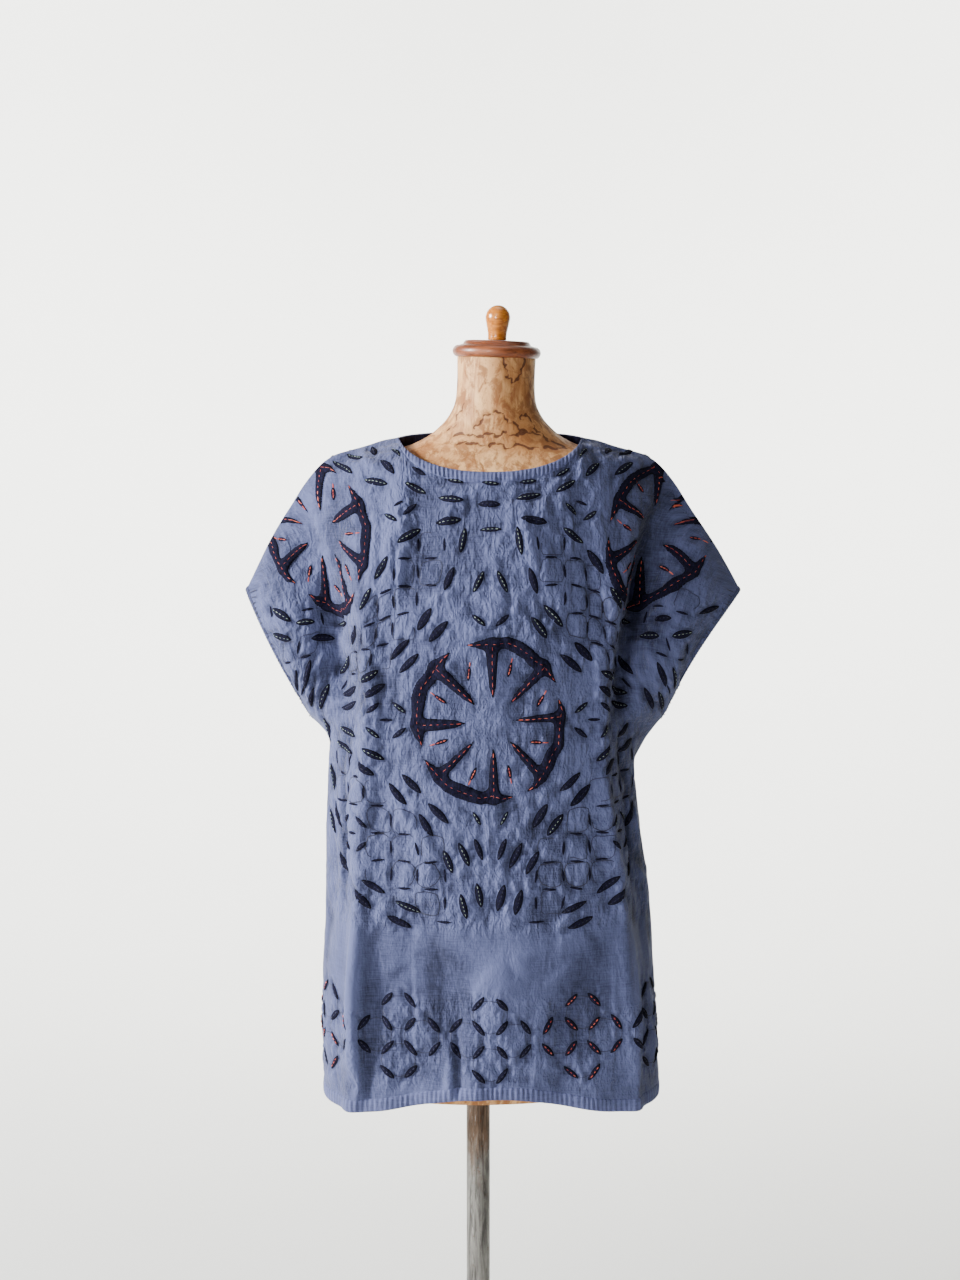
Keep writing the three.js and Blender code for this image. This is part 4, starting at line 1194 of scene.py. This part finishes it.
MATERIALS = {
    "cotton": cotton("cotton", srgb(81, 87, 123), srgb(26, 29, 49), 0.0026),
    "band": cotton("cotton_band", srgb(90, 96, 136), srgb(42, 45, 68), 0.0011),
    "inlay": inlay_cloth(),
    "under": under_layer(),
    "coral": thread("thread_coral", srgb(150, 46, 38), srgb(200, 98, 74)),
    "pale": thread("thread_pale", srgb(84, 102, 96), srgb(150, 164, 150)),
    "navy": thread("thread_navy", srgb(16, 17, 32), srgb(34, 36, 62)),
    "line": thread("stitched_line", srgb(14, 16, 34), srgb(30, 33, 60)),
}


# ------------------------------------------------------------------ the top
def put_cloth(side):
    """A panel's face, and the dark layer under it."""
    cloth = CLOTHS[side]
    rows, columns = cloth.x.shape
    uv = flat_uv(cloth.x, cloth.y)
    # The painted light mark comes from the cloth's relief: painted highlight on the ridges, painted shade in
    # the creases and grooves.
    marks = {"field": cloth.field, "worn": np.clip(0.2 + cloth.relief * 0.1, 0, 0.5)}
    top = put_mesh(
        f"{side}_cloth", cloth.points, grid_faces(rows, columns, flip=side == "back"),
        MATERIALS["cotton"], uv, marks,
    )
    under = put_mesh(
        f"{side}_under_layer", cloth.under, grid_faces(*cloth.under.shape[:2], flip=side == "front"),
        MATERIALS["under"], uv[::4, ::4],
    )
    return top, under


def put_band(side, name, where, width, pitch, columns, lift):
    """A ribbed band along the hem or neckline, thick and turned in over the panel's edge."""
    cloth, rng = CLOTHS[side], np.random.default_rng(5)
    end, row, sign = (1, 0, 1) if where == "hem" else (NECK_SHARE, len(cloth.x) - 1, -1)
    place = (np.linspace(-end, end, columns) + 1) / 2 * (len(cloth.shares) - 1)
    rows = np.full(columns, row, float)
    edge_x, edge_y = read_grid(cloth.x, rows, place), read_grid(cloth.y, rows, place)
    drift = 0.9 * np.sin(edge_x * 0.11) + 1.4 * uneven(edge_x, edge_x * 0, 14, 9, 3)
    tucks = np.cos(edge_x / pitch * 2 * math.pi + drift)
    strength = 0.75 + 0.45 * uneven(edge_x, edge_x * 0, 9, 9, 4)
    # Across the band: inset from the edge, height, and how much of the ribs shows.
    profile = [
        (0.0, -1.1, 0), (-0.35, -0.3, 0), (0.1, 0.45, 0.3), (1.2, 0.85, 0.7), (0.35 * width, 1.0, 1),
        (0.7 * width, 0.9, 1), (0.93 * width, 0.7, 0.8), (width, 0.1, 0.4), (width + 0.3, -0.3, 0),
    ]
    points, uvs = [], []
    for inset, height, share in profile:
        jitter = 0.25 * share * np.sin(edge_x * 0.9 + inset)
        x, y = edge_x, edge_y + sign * (inset + jitter)
        rise = lift + height + share * 0.42 * tucks * strength
        rise = rise - 0.35 * share * rng.uniform(0, 0.4, columns)
        points.append(cloth.at(x, np.clip(y, cloth.y.min(), None), rise))
        uvs.append(flat_uv(x, y))
    points = np.stack(points)
    points[..., 1] = own_side(points[..., 1], side)
    flip = (side == "back") != (where == "neck")
    # Painted light from the tucks: painted highlight on the rib crests, painted shade between the ribs.
    worn = np.broadcast_to(0.16 + 0.12 * tucks, points.shape[:2])
    band = put_mesh(
        name, points, grid_faces(len(profile), columns, flip=flip), MATERIALS["band"], np.stack(uvs),
        {"field": np.full(points.shape[:2], 0.6), "worn": worn},
    )
    return band


def put_sleeve_hems(side):
    """Narrow rolled hems along both sleeve edges, with dark overcast stitches."""
    cloth, rng = CLOTHS[side], np.random.default_rng(8)
    hems, stitches = Batch(), Batch()
    rows = np.linspace(cloth.lower, len(cloth.x) - 1, 260)
    for column, sign in ((0, 1), (len(cloth.shares) - 1, -1)):
        place = np.full(len(rows), float(column))
        edge = read_grid(cloth.points, rows, place)
        normal = unit(read_grid(cloth.normals, rows, place))
        length = read_grid(cloth.y, rows, place)
        inward = unit(read_grid(cloth.points, rows, place + sign * 3) - edge)
        around = np.linspace(0, 2 * math.pi, 11)
        tuck = 1 + 0.1 * np.sin(length * 1.9 + np.sin(length * 0.4))
        wide, thick = 2.9 * tuck, 1.25 * tuck
        centre = edge + inward * 2.3 - normal * 0.35
        ring = (
            centre[:, None]
            + inward[:, None] * (np.cos(around)[None, :, None] * wide[:, None, None])
            + normal[:, None] * (np.sin(around)[None, :, None] * thick[:, None, None])
        )
        ring[..., 1] = own_side(ring[..., 1], side)
        u = np.broadcast_to(length[:, None] / 1000 + 0.3, ring.shape[:2])
        v = np.broadcast_to(around[None, :] * 0.003 + 0.2 + 0.05 * column / 285, ring.shape[:2])
        flip = (side == "back") == (sign > 0)
        hems.add(ring, grid_faces(len(rows), len(around), flip=flip), np.stack([u, v], -1))
        for y in np.arange(9, length[-1] - 6, 6.2):
            y = y + rng.normal(0, 0.8)
            x = np.interp(y, length, read_grid(cloth.x, rows, place)) + sign * rng.uniform(2.5, 4.5)
            way = np.array([[sign * 0.8, rng.normal(0, 0.35)]])
            lay_stitches(cloth, stitches, [(x, y)], unit(way), 4.2, 1.0, 0.95, rng)
    made = hems.put(f"{side}_sleeve_hems", MATERIALS["band"])
    dots = stitches.put(f"{side}_sleeve_stitches", MATERIALS["navy"])
    return [made, dots]


def lay_hooks(cloth, pattern, hooks, coral, rng):
    """The hooks of each wheel, with a line of stitches along every arm."""
    for name, parts in pattern.hooks:
        wheel = WHEELS[name]
        lay_hook(cloth, hooks[name], wheel, parts, rng)
        for line in parts:
            spots, ways = along_line(line, 7.2, 2.5)
            x, y = wheel_flat(cloth, wheel, *spots.T)
            x2, y2 = wheel_flat(cloth, wheel, *(spots + ways).T)
            shown = y < cloth.top_y(x) - 4
            places = np.stack([x, y], -1)[shown]
            directions = unit(np.stack([x2 - x, y2 - y], -1)[shown])
            lay_stitches(cloth, coral, places, directions, 4.2, 0.58, 1.02, rng)


def lay_wheel_leaves(cloth, wheel, dark, coral, rng):
    """The small leaves between a wheel's spokes, with the stitches on and behind each."""
    out, half, width = SPOKE_LEAF
    ends = np.array([-half, half])
    for k in range(8):
        way = math.radians(wheel["turn"] + 22.5 + k * 45 + rng.normal(0, 2.5))
        radius = out + rng.normal(0, 2)
        lean = way + rng.normal(0, 0.35)
        x = radius * math.cos(way) + ends * math.cos(lean)
        y = radius * math.sin(way) + ends * math.sin(lean)
        a, b = np.stack(wheel_flat(cloth, wheel, x, y), -1)
        middle, size = (a + b) / 2, np.hypot(*(b - a))
        run = (b - a) / size
        if middle[1] > cloth.top_y(middle[0]) - 10:
            continue
        lay_leaves(cloth, [(middle, run, size, width)], dark, rng)
        spots = [middle + run * gap for gap in (-3.4, 0.2, 3.6)]
        lay_stitches(cloth, coral, spots, [run] * 3, 2.6, 0.85, 0.9, rng)
        lay_stitches(cloth, coral, [middle + run * 9.5], [run], 5.5, 1.1, 0.3, rng)


def lay_leaf_stitches(cloth, pattern, threads, rng):
    """Running stitches down the middle of each leaf: paler towards the shoulders."""
    for middle, way, length, width in pattern.leaves:
        if width < 3.2:
            continue
        high = smoothstep(middle[1], 60, 220) * 0.5 + smoothstep(abs(middle[0]), 140, 200) * 0.3
        kind = "pale" if rng.uniform() < 0.25 + high else "navy"
        count = int(length / 4.6)
        spots = [middle + way * (gap - (count - 1) / 2) * 4.3 for gap in range(count)]
        lay_stitches(cloth, threads[kind], spots, [way] * count, 2.2, 0.5, 0.62 + 0.08 * width, rng)


def lay_hem_stitches(cloth, pattern, threads, rng):
    """Stitches on the leaves above the hem: coral in one group and part of another."""
    for middle, way, length, _, group in pattern.hem_leaves:
        kind = "coral" if group == 1 or (group == -2 and rng.uniform() < 0.6) else "navy"
        spots = [middle + way * gap * length for gap in (-0.24, 0.0, 0.24)]
        lay_stitches(cloth, threads[kind], spots, [way] * 3, 2.6, 0.75, 1.0, rng)


def lay_stitched_lines(cloth, pattern, lines, rng):
    """The lattice's rounded lines, and rings between the leaves above the hem."""
    for x, y in pattern.loops:
        x, y = to_flat(x + rng.normal(0, 0.4), y + rng.normal(0, 0.4))
        lay_line(cloth, lines, x, y, 0.85, 0.42, rng.uniform())
    hem_y = np.interp(0, cloth.x[0], cloth.y[0])
    turn = np.radians(np.arange(0, 361, 10))
    for group in HEM_GROUPS:
        for x, y in ((0, 25.5), (-24.5, 0), (24.5, 0), (0, -25.5)):
            wide = 17.5 + 0.6 * np.sin(turn * 3 + group)
            x = x + group * HEM_GROUP_PITCH + wide * np.cos(turn)
            y = y + hem_y + HEM_GROUP_ABOVE_HEM + wide * np.sin(turn)
            if np.abs(x).max() < 243:
                lay_line(cloth, lines, x, y, 0.6, 0.36, rng.uniform())


def put_cutwork(side):
    """Hooks, leaves, slits, running stitches and stitched lines of one panel."""
    cloth, pattern = CLOTHS[side], PATTERNS[side]
    rng = np.random.default_rng(21)
    dark, lines = Batch(), Batch()
    threads = {"coral": Batch(), "pale": Batch(), "navy": Batch()}
    hooks = {name: Batch() for name in WHEELS}
    lay_hooks(cloth, pattern, hooks, threads["coral"], rng)
    for wheel in WHEELS.values():
        lay_wheel_leaves(cloth, wheel, dark, threads["coral"], rng)
    lay_leaves(cloth, pattern.leaves + pattern.slits, dark, rng)
    lay_leaf_stitches(cloth, pattern, threads, rng)
    lay_leaves(cloth, [leaf[:4] for leaf in pattern.hem_leaves], dark, rng)
    lay_hem_stitches(cloth, pattern, threads, rng)
    lay_stitched_lines(cloth, pattern, lines, rng)
    made = []
    for name, batch, look in [
        *[(f"{name}_wheel", batch, "inlay") for name, batch in hooks.items()],
        ("leaves", dark, "inlay"),
        ("stitched_lines", lines, "line"),
        *[(f"{key}_stitches", batch, key) for key, batch in threads.items()],
    ]:
        made.append(batch.put(f"{side}_{name}", MATERIALS[look]))
    return made


# The hooks that the solids hold too, by their numbers in the solids' names.
SOLID_HOOKS = {"centre": (1, 2, 3, 4), "left": (1, 4), "right": (1, 3, 4)}


def put_top(side):
    """One panel with its under layer, bands, sleeve hems and cut-work."""
    top, under = put_cloth(side)
    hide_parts(f"{side}_panel")
    hem = put_band(side, f"{side}_hem_ribs", "hem", BAND["hem"] - 1.5, 5.3, 721, 0.1)
    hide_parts(f"{side}_hem_band")
    neck = put_band(side, f"{side}_neck_gathers", "neck", BAND["neck"], 4.4, 361, 0.1)
    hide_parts(f"{side}_neck_band")
    sleeves = put_sleeve_hems(side)
    cutwork = put_cutwork(side)
    if side == "front":
        for piece, (name, numbers) in zip(cutwork, SOLID_HOOKS.items()):
            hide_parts(*[f"{name}_hook_{number}" for number in numbers])


put_top("front")
put_top("back")


# ------------------------------------------------------------------ form and stand
def papier_mache():
    """Blotched varnished paper, cracked in places and dark along the stain lines."""
    s = Shader("papier_mache")
    place = s.solid()
    blotch = s.noise(place, (14, 14, 9), 5, 0.62, 0.8)
    mottle = s.noise(place, (70, 70, 46), 5, 0.68, 0.5)
    specks = s.noise(place, (300, 300, 240), 3, 0.6)
    upright = s.noise(place, (95, 95, 14), 4, 0.6, 0.8)
    color = s.blend(blotch, 0.34, 0.68, srgb(222, 174, 118), srgb(172, 116, 66))
    color = s.blend(mottle, 0.45, 0.6, color, srgb(120, 70, 34), 0.75)
    color = s.blend(upright, 0.48, 0.62, color, srgb(138, 84, 46), 0.6)
    color = s.blend(specks, 0.6, 0.72, color, srgb(92, 54, 28), 0.4)
    drift = s.noise(place, (40, 40, 40), 4, 0.5, out="Color")
    pushed = s.node("VectorMath", {"operation": "SCALE"}, in0=drift, Scale=0.55).outputs[0]
    cells = s.place((17, 17, 22), place)
    warped = s.node("VectorMath", {"operation": "ADD"}, in0=cells, in1=pushed).outputs[0]
    edges = s.node("TexVoronoi", {"feature": "DISTANCE_TO_EDGE"}, Vector=warped, Scale=1.0, Randomness=1.0)
    crack = s.ramp(edges.outputs["Distance"], 0.0, 0.028, 1, 0)
    patchy = s.ramp(s.noise(place, (12, 12, 12), 2, shift=(3, 1, 0)), 0.5, 0.6)
    crack = s.math("MULTIPLY", crack, patchy)
    stain = s.mark("stain")
    broken = s.total((stain, 1), (s.math("SUBTRACT", mottle, 0.5), 0.9))
    color = s.blend(s.mark("halo"), 0.1, 0.9, color, srgb(156, 104, 60), 0.55)
    color = s.blend(broken, 0.3, 0.6, color, srgb(72, 36, 18), 0.85)
    color = s.mix(s.math("MULTIPLY", crack, 0.45), color, srgb(108, 68, 40))
    normal = s.bump(s.total((mottle, 0.7), (stain, -0.5)), 0.0011)
    normal = s.bump(specks, 0.0003, 0.7, normal)
    return s.finish(color, s.ramp(mottle, 0.3, 0.7, 0.56, 0.74), normal, Specular_IOR_Level=0.3)


def wood(name, dark, light, streak, rough, coat):
    """Turned wood: growth lines across the blank, drawn out along it."""
    s = Shader(name)
    place = s.solid()
    rings = s.noise(place, (60, 420, 900), 4, 0.6, 0.6)
    broad = s.noise(place, (30, 60, 160), 3, 0.5, 0.4)
    pores = s.noise(place, (900, 900, 260), 2)
    color = s.blend(rings, 0.3, 0.72, dark, light)
    color = s.blend(broad, 0.45, 0.75, color, streak, 0.55)
    color = s.blend(pores, 0.66, 0.8, color, srgb(60, 32, 18), 0.3)
    normal = s.bump(rings, 0.00012, 0.6)
    return s.finish(color, rough, normal, Coat_Weight=coat, Coat_Roughness=0.18)


def steel():
    """Scratched bare steel, with a painted brown reflection higher up and random brown patches."""
    s = Shader("worn_steel")
    place = s.solid()
    height = s.node("SeparateXYZ", None, Vector=place).outputs["Z"]
    streaks = s.noise(place, (260, 260, 22), 5, 0.66, 0.6)
    patches = s.noise(place, (60, 60, 30), 4, 0.6, 0.7)
    scratches = s.noise(place, (1500, 1500, 60), 3)
    # Painted reflection: brown towards the top of the pole, mixed with random patches.
    brown_reflection_and_patches = s.total((s.ramp(height, 0.5, 0.64), 1), (s.math("SUBTRACT", patches, 0.5), 1.1))
    bare = s.blend(streaks, 0.34, 0.7, srgb(74, 72, 69), srgb(140, 138, 132))
    # The brown colour of the painted reflection and the patches.
    worn = s.blend(streaks, 0.3, 0.7, srgb(58, 46, 36), srgb(112, 92, 76))
    color = s.blend(brown_reflection_and_patches, 0.15, 0.85, bare, worn)
    color = s.blend(scratches, 0.6, 0.72, color, srgb(206, 202, 196), 0.35)
    rust = s.noise(place, (180, 180, 120), 4, 0.7, shift=(1, 2, 3))
    color = s.blend(rust, 0.6, 0.7, color, srgb(92, 56, 34), 0.7)
    normal = s.bump(streaks, 0.0002, 0.6)
    return s.finish(color, s.ramp(patches, 0.3, 0.7, 0.34, 0.58), normal, Metallic=0.72)


def iron():
    s = Shader("painted_iron")
    place = s.solid()
    cast = s.noise(place, (240, 240, 240), 4, 0.7)
    broad = s.noise(place, (18, 18, 18), 3)
    color = s.blend(broad, 0.3, 0.7, srgb(40, 39, 38), srgb(66, 63, 60))
    color = s.blend(cast, 0.62, 0.76, color, srgb(98, 92, 84), 0.4)
    return s.finish(color, s.ramp(cast, 0.3, 0.7, 0.45, 0.7), s.bump(cast, 0.0005), Metallic=0.25)


def turned(name, profile, place, tilt, sides, material):
    """A turned piece: a profile of radius and height round an axis, closed on it at both ends."""
    profile = np.array(profile, float)
    angle = np.linspace(0, 2 * math.pi, sides, endpoint=False)
    x = profile[:, :1] * np.cos(angle)
    y = profile[:, :1] * np.sin(angle)
    z = np.repeat(profile[:, 1:], sides, 1)
    across, up = x * math.cos(tilt) + z * math.sin(tilt), z * math.cos(tilt) - x * math.sin(tilt)
    points = np.stack([across + place[0], y + place[1], up + place[2]], -1)
    run = np.concatenate([[0], np.cumsum(np.hypot(*np.diff(profile, axis=0).T))]) / 1000
    uv = np.stack([np.broadcast_to(angle / 7, x.shape), np.repeat(run[:, None], sides, 1)], -1)
    made = put_mesh(name, points, grid_faces(len(profile), sides, wrap=True), material, uv)
    return made


def arc(centre, height, radius, start, end, steps):
    """Places on a profile along a round corner, between two angles in degrees."""
    angle = np.radians(np.linspace(start, end, steps))
    return [(centre + radius * math.cos(a), height + radius * math.sin(a)) for a in angle]


# Dark lines and stains on the form's neck: each its width, then angle round it and height in turn.
STAIN_LINES = [
    (2.2, [
        (10, 1430), (11, 1421), (15, 1414), (17, 1406), (25, 1402), (33, 1404), (38, 1411), (42, 1419),
        (45, 1430),
    ]),
    (2.0, [(-30, 1352), (-24, 1360), (-12, 1368), (2, 1372), (18, 1364), (30, 1357), (40, 1352)]),
    (2.6, [
        (-52, 1346), (-38, 1350), (-25, 1346), (-10, 1349), (4, 1347), (14, 1351), (28, 1347), (41, 1352),
        (58, 1347),
    ]),
    (2.0, [(34, 1362), (43, 1370), (50, 1366), (55, 1352), (61, 1345), (66, 1336)]),
    (2.2, [
        (-44, 1338), (-30, 1341), (-18, 1337), (0, 1339), (16, 1335), (32, 1338), (50, 1334), (66, 1335),
    ]),
    (1.6, [(-64, 1352), (-56, 1358), (-60, 1368), (-50, 1380)]),
    (1.7, [(150, 1428), (156, 1404), (168, 1390), (180, 1396), (190, 1414), (196, 1428)]),
    (2.2, [(120, 1350), (140, 1360), (165, 1368), (185, 1358), (205, 1364), (232, 1350)]),
    (2.0, [
        (98, 1384), (108, 1372), (112, 1356), (124, 1344), (150, 1340), (190, 1342), (236, 1340),
        (262, 1350),
    ]),
    (1.8, [(-100, 1346), (-92, 1366), (-84, 1372), (-78, 1392), (-84, 1410)]),
]


def stain_at(angle, z, spread):
    """How dark the form is there: the listed lines, blurred by spread."""
    total = np.zeros(angle.shape)
    for width, line in STAIN_LINES:
        line = np.array(line, float)
        t = np.linspace(0, len(line) - 1, len(line) * 14)
        along, up = (np.interp(t, np.arange(len(line)), line[:, k]) for k in (0, 1))
        along = along + 1.6 * np.sin(t * 5.1 + width) + 0.9 * np.sin(t * 13)
        up = up + 1.3 * np.sin(t * 4.3) + 0.8 * np.sin(t * 11 + 1)
        for a, b, step in zip(along, up, t):
            round_by = (np.degrees(angle) - a + 180) % 360 - 180
            away = np.hypot(round_by * 0.74, z - b)
            broad = spread * width * (0.9 + 0.35 * math.sin(step * 7 + width * 9))
            dark = 0.9 + 0.2 * math.sin(step * 3.1 + width * 5)
            total = np.maximum(total, dark * np.exp(-((away / broad) ** 2)))
    return total


def closed_end(row):
    """Rings that close a row of points, from near the middle out to it."""
    centre = row.mean(0) * [1, 0, 1]
    return [centre + (row - centre) * part for part in (0.001, 0.5, 0.97)]


def put_form():
    """The form's shell, fine at the neck, with its stains, closed above and below."""
    split, sides = 1300, 224
    low = np.linspace(FORM_LOW_Z, split, 90, endpoint=False)
    z = np.concatenate([low, np.linspace(split, FORM_TOP_Z, 110)])
    angle = np.linspace(0, 2 * math.pi, sides, endpoint=False)
    half, front, back = (look_up(FORM, "z", key, z)[:, None] for key in ("half", "front", "back"))
    depth = np.where(np.sin(angle)[None, :] < 0, front, back)
    middle = lean_x(z)[:, None]
    heights = np.broadcast_to(z[:, None], (len(z), sides))
    points = np.stack([middle + half * np.cos(angle), depth * np.sin(angle), heights], -1)
    from_front = np.arctan2(points[..., 0] - middle, -points[..., 1])
    clear = np.zeros((3, sides))
    marks = {}
    for name, spread in (("stain", 0.6), ("halo", 2.2)):
        marks[name] = np.concatenate([clear, stain_at(from_front, heights, spread), clear])
    rows = np.stack([*closed_end(points[0]), *points, *reversed(closed_end(points[-1]))])
    run = np.concatenate([[0.0, 0.05, 0.1], 0.12 + (z - FORM_LOW_Z) / 1000, [0.91, 0.94, 0.98]])
    uv = np.stack(np.broadcast_arrays(angle[None, :] / 7, run[:, None]), -1)
    faces = grid_faces(len(rows), sides, wrap=True)
    body = put_mesh("form_shell", rows, faces, papier_mache(), uv, marks)
    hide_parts("form_body")


def put_cap_and_knob():
    """The stepped wooden cap on the neck, tilted a little, and the turned knob on it."""
    tilt = CAP["tilt"]
    cap_z = FORM_TOP_Z + SEAM_GAP + CAP["radius"] * math.sin(-tilt)
    profile = [
        (0.01, 0), (42.1, 0), (42.2, -3.6), *arc(39.7, 2.1, 6.3, -66, 90, 18), (40.4, 8.2), (39.4, 8.2),
        (38.2, 8.9), (37, 9.1), (35.6, 9.4), (35, 10.2), (34.6, 11.8), *arc(32, 11.5, 2, 0, 90, 8),
        (28, 13.9), (22, 14.0), (17, 14.2), (12, 14.3), (0.01, 14.3),
    ]
    look = wood("cap_wood", srgb(80, 38, 18), srgb(140, 74, 38), srgb(160, 92, 52), 0.42, 0.12)
    cap = turned("turned_cap", profile, (LEAN["high_x"], 0, cap_z), -tilt, 128, look)
    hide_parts("neck_cap")
    up = CAP["rim"] + CAP["step_height"] + 0.8 + SEAM_GAP
    place = (LEAN["high_x"] - up * math.sin(tilt), 0, cap_z + up * math.cos(tilt))
    neck, head = KNOB["neck"], KNOB["head"]
    profile = [
        (0.01, 0), (neck - 0.6, 0), (neck, 0.5), (neck, 3), (neck + 0.3, 7), (neck + 1, 11),
        (neck + 1.9, 15), (neck + 2.7, 19), *arc(0, KNOB["height"] - head, head, -14, 88, 20),
        (0.01, KNOB["height"]),
    ]
    look = wood("knob_wood", srgb(160, 88, 22), srgb(208, 128, 44), srgb(222, 148, 62), 0.24, 0.45)
    knob = turned("turned_knob", profile, place, -tilt, 96, look)
    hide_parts("cap_knob")


def put_stand():
    """The steel pole under the form and its round iron base."""
    place = (LEAN["low_x"], 0, 0)
    disc, collar, collar_top = BASE["radius"], BASE["collar"], BASE["collar_top"]
    radius, low, top = POLE_RADIUS, collar_top + SEAM_GAP, FORM_LOW_Z - SEAM_GAP
    profile = [
        (0.01, low), (radius - 1, low), (radius - 0.3, low + 0.3),
        *[(radius, z) for z in np.linspace(low + 1, top - 1, 60)],
        (radius - 0.3, top - 0.3), (radius - 1, top), (0.01, top),
    ]
    pole = turned("steel_pole", profile, place, 0, 72, steel())
    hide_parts("stand_pole")
    profile = [
        (0.01, 0), (disc - 3, 0), *arc(disc - 3, 3, 3, -90, 0, 7)[1:], *arc(disc - 3, 6, 3, 0, 90, 7),
        (disc - 10, 9.8), (disc - 30, 11.8), (disc * 0.6, 14.8), (disc * 0.42, 17.2), (collar + 14, 20),
        (collar + 8, 22), (collar + 4, 25.2), (collar + 1.2, 30), (collar, 36), (collar, collar_top - 2),
        *arc(collar - 2, collar_top - 2, 2, 0, 90, 6)[1:], (radius + 0.6, collar_top), (0.01, collar_top),
    ]
    base = turned("iron_base", profile, place, 0, 144, iron())
    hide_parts("stand_base")


put_form()
put_cap_and_knob()
put_stand()


# ------------------------------------------------------------------ studio
BACKDROP_Y = 4.6


def stage_material(name, color):
    s = Shader(name)
    grain = s.noise(s.solid(), (3, 3, 3), 3)
    darker = (*[v * 0.985 for v in color[:3]], 1)
    return s.finish(s.blend(grain, 0.3, 0.7, color, darker), 0.9)


def put_stage():
    """A pale floor that sweeps up into a backdrop well behind the object."""
    radius = 2.4
    bend = [(radius * math.sin(a), radius - radius * math.cos(a)) for a in np.linspace(0, math.pi / 2, 24)]
    profile = [(-7.0, 0.0), *[(BACKDROP_Y - radius + y, z) for y, z in bend], (BACKDROP_Y, 6.0)]
    xs = np.linspace(-8, 8, 9)
    points = np.array([[[x, y, z - 0.0005] for x in xs] for y, z in profile])
    mesh = bpy.data.meshes.new("floor_sweep")
    mesh.from_pydata(points.reshape(-1, 3).tolist(), [], grid_faces(len(profile), len(xs)).tolist())
    mesh.polygons.foreach_set("use_smooth", [True] * len(mesh.polygons))
    floor = bpy.data.objects.new("floor_sweep", mesh)
    bpy.context.collection.objects.link(floor)
    mesh.materials.append(stage_material("studio_floor", srgb(232, 232, 228)))


def put_light(name, place, aim, size, power, color, spread=180):
    """An area light, turned from its place towards the point it is aimed at."""
    data = bpy.data.lights.new(name, "AREA")
    data.shape, data.size, data.size_y, data.energy, data.color = "RECTANGLE", size[0], size[1], power, color
    light = bpy.data.objects.new(name, data)
    bpy.context.collection.objects.link(light)
    light.location = place
    way = np.array(aim, float) - np.array(place, float)
    data.spread = math.radians(spread)
    light.rotation_euler = (math.atan2(math.hypot(way[0], way[1]), -way[2]), 0, math.atan2(-way[0], way[1]))


put_stage()
put_light("window", (-2.95, -0.75, 2.1), (0, 0, 1.1), (0.5, 0.8), 365, (0.98, 0.985, 1.0))
put_light("front", (-1.3, -3.0, 1.5), (0.06, 0, 0.78), (0.7, 0.7), 7, (1.0, 0.99, 0.98), 50)
put_light("brow", (-1.0, -3.0, 3.0), (0, 0, 1.2), (0.9, 0.9), 16, (1.0, 0.99, 0.98))
put_light("top", (0.2, 0.2, 3.6), (0, 0, 0.8), (1.6, 1.6), 14, (1.0, 1.0, 1.0))
for name, sign in (("backdrop_left", -1), ("backdrop_right", 1)):
    aim = (sign * 1.2, BACKDROP_Y, 1.2)
    put_light(name, (sign * 2.6, 2.2, 4.6), aim, (2.0, 2.0), 250, (1.0, 1.0, 0.98), 100)
world = bpy.data.worlds.new("studio")
bpy.context.scene.world = world
world.use_nodes = True
background = world.node_tree.nodes["Background"]
background.inputs["Color"].default_value = (0.93, 0.95, 1.0, 1)
background.inputs["Strength"].default_value = 0.1

lens = bpy.data.cameras.new("camera")
lens.sensor_width, lens.lens = 36, 61.59375
camera = bpy.data.objects.new("camera", lens)
bpy.context.collection.objects.link(camera)
camera.location = (-0.0138, -2.300, 1.4053)
camera.rotation_euler = (math.radians(90 - 6.8), 0, 0)
bpy.context.scene.camera = camera
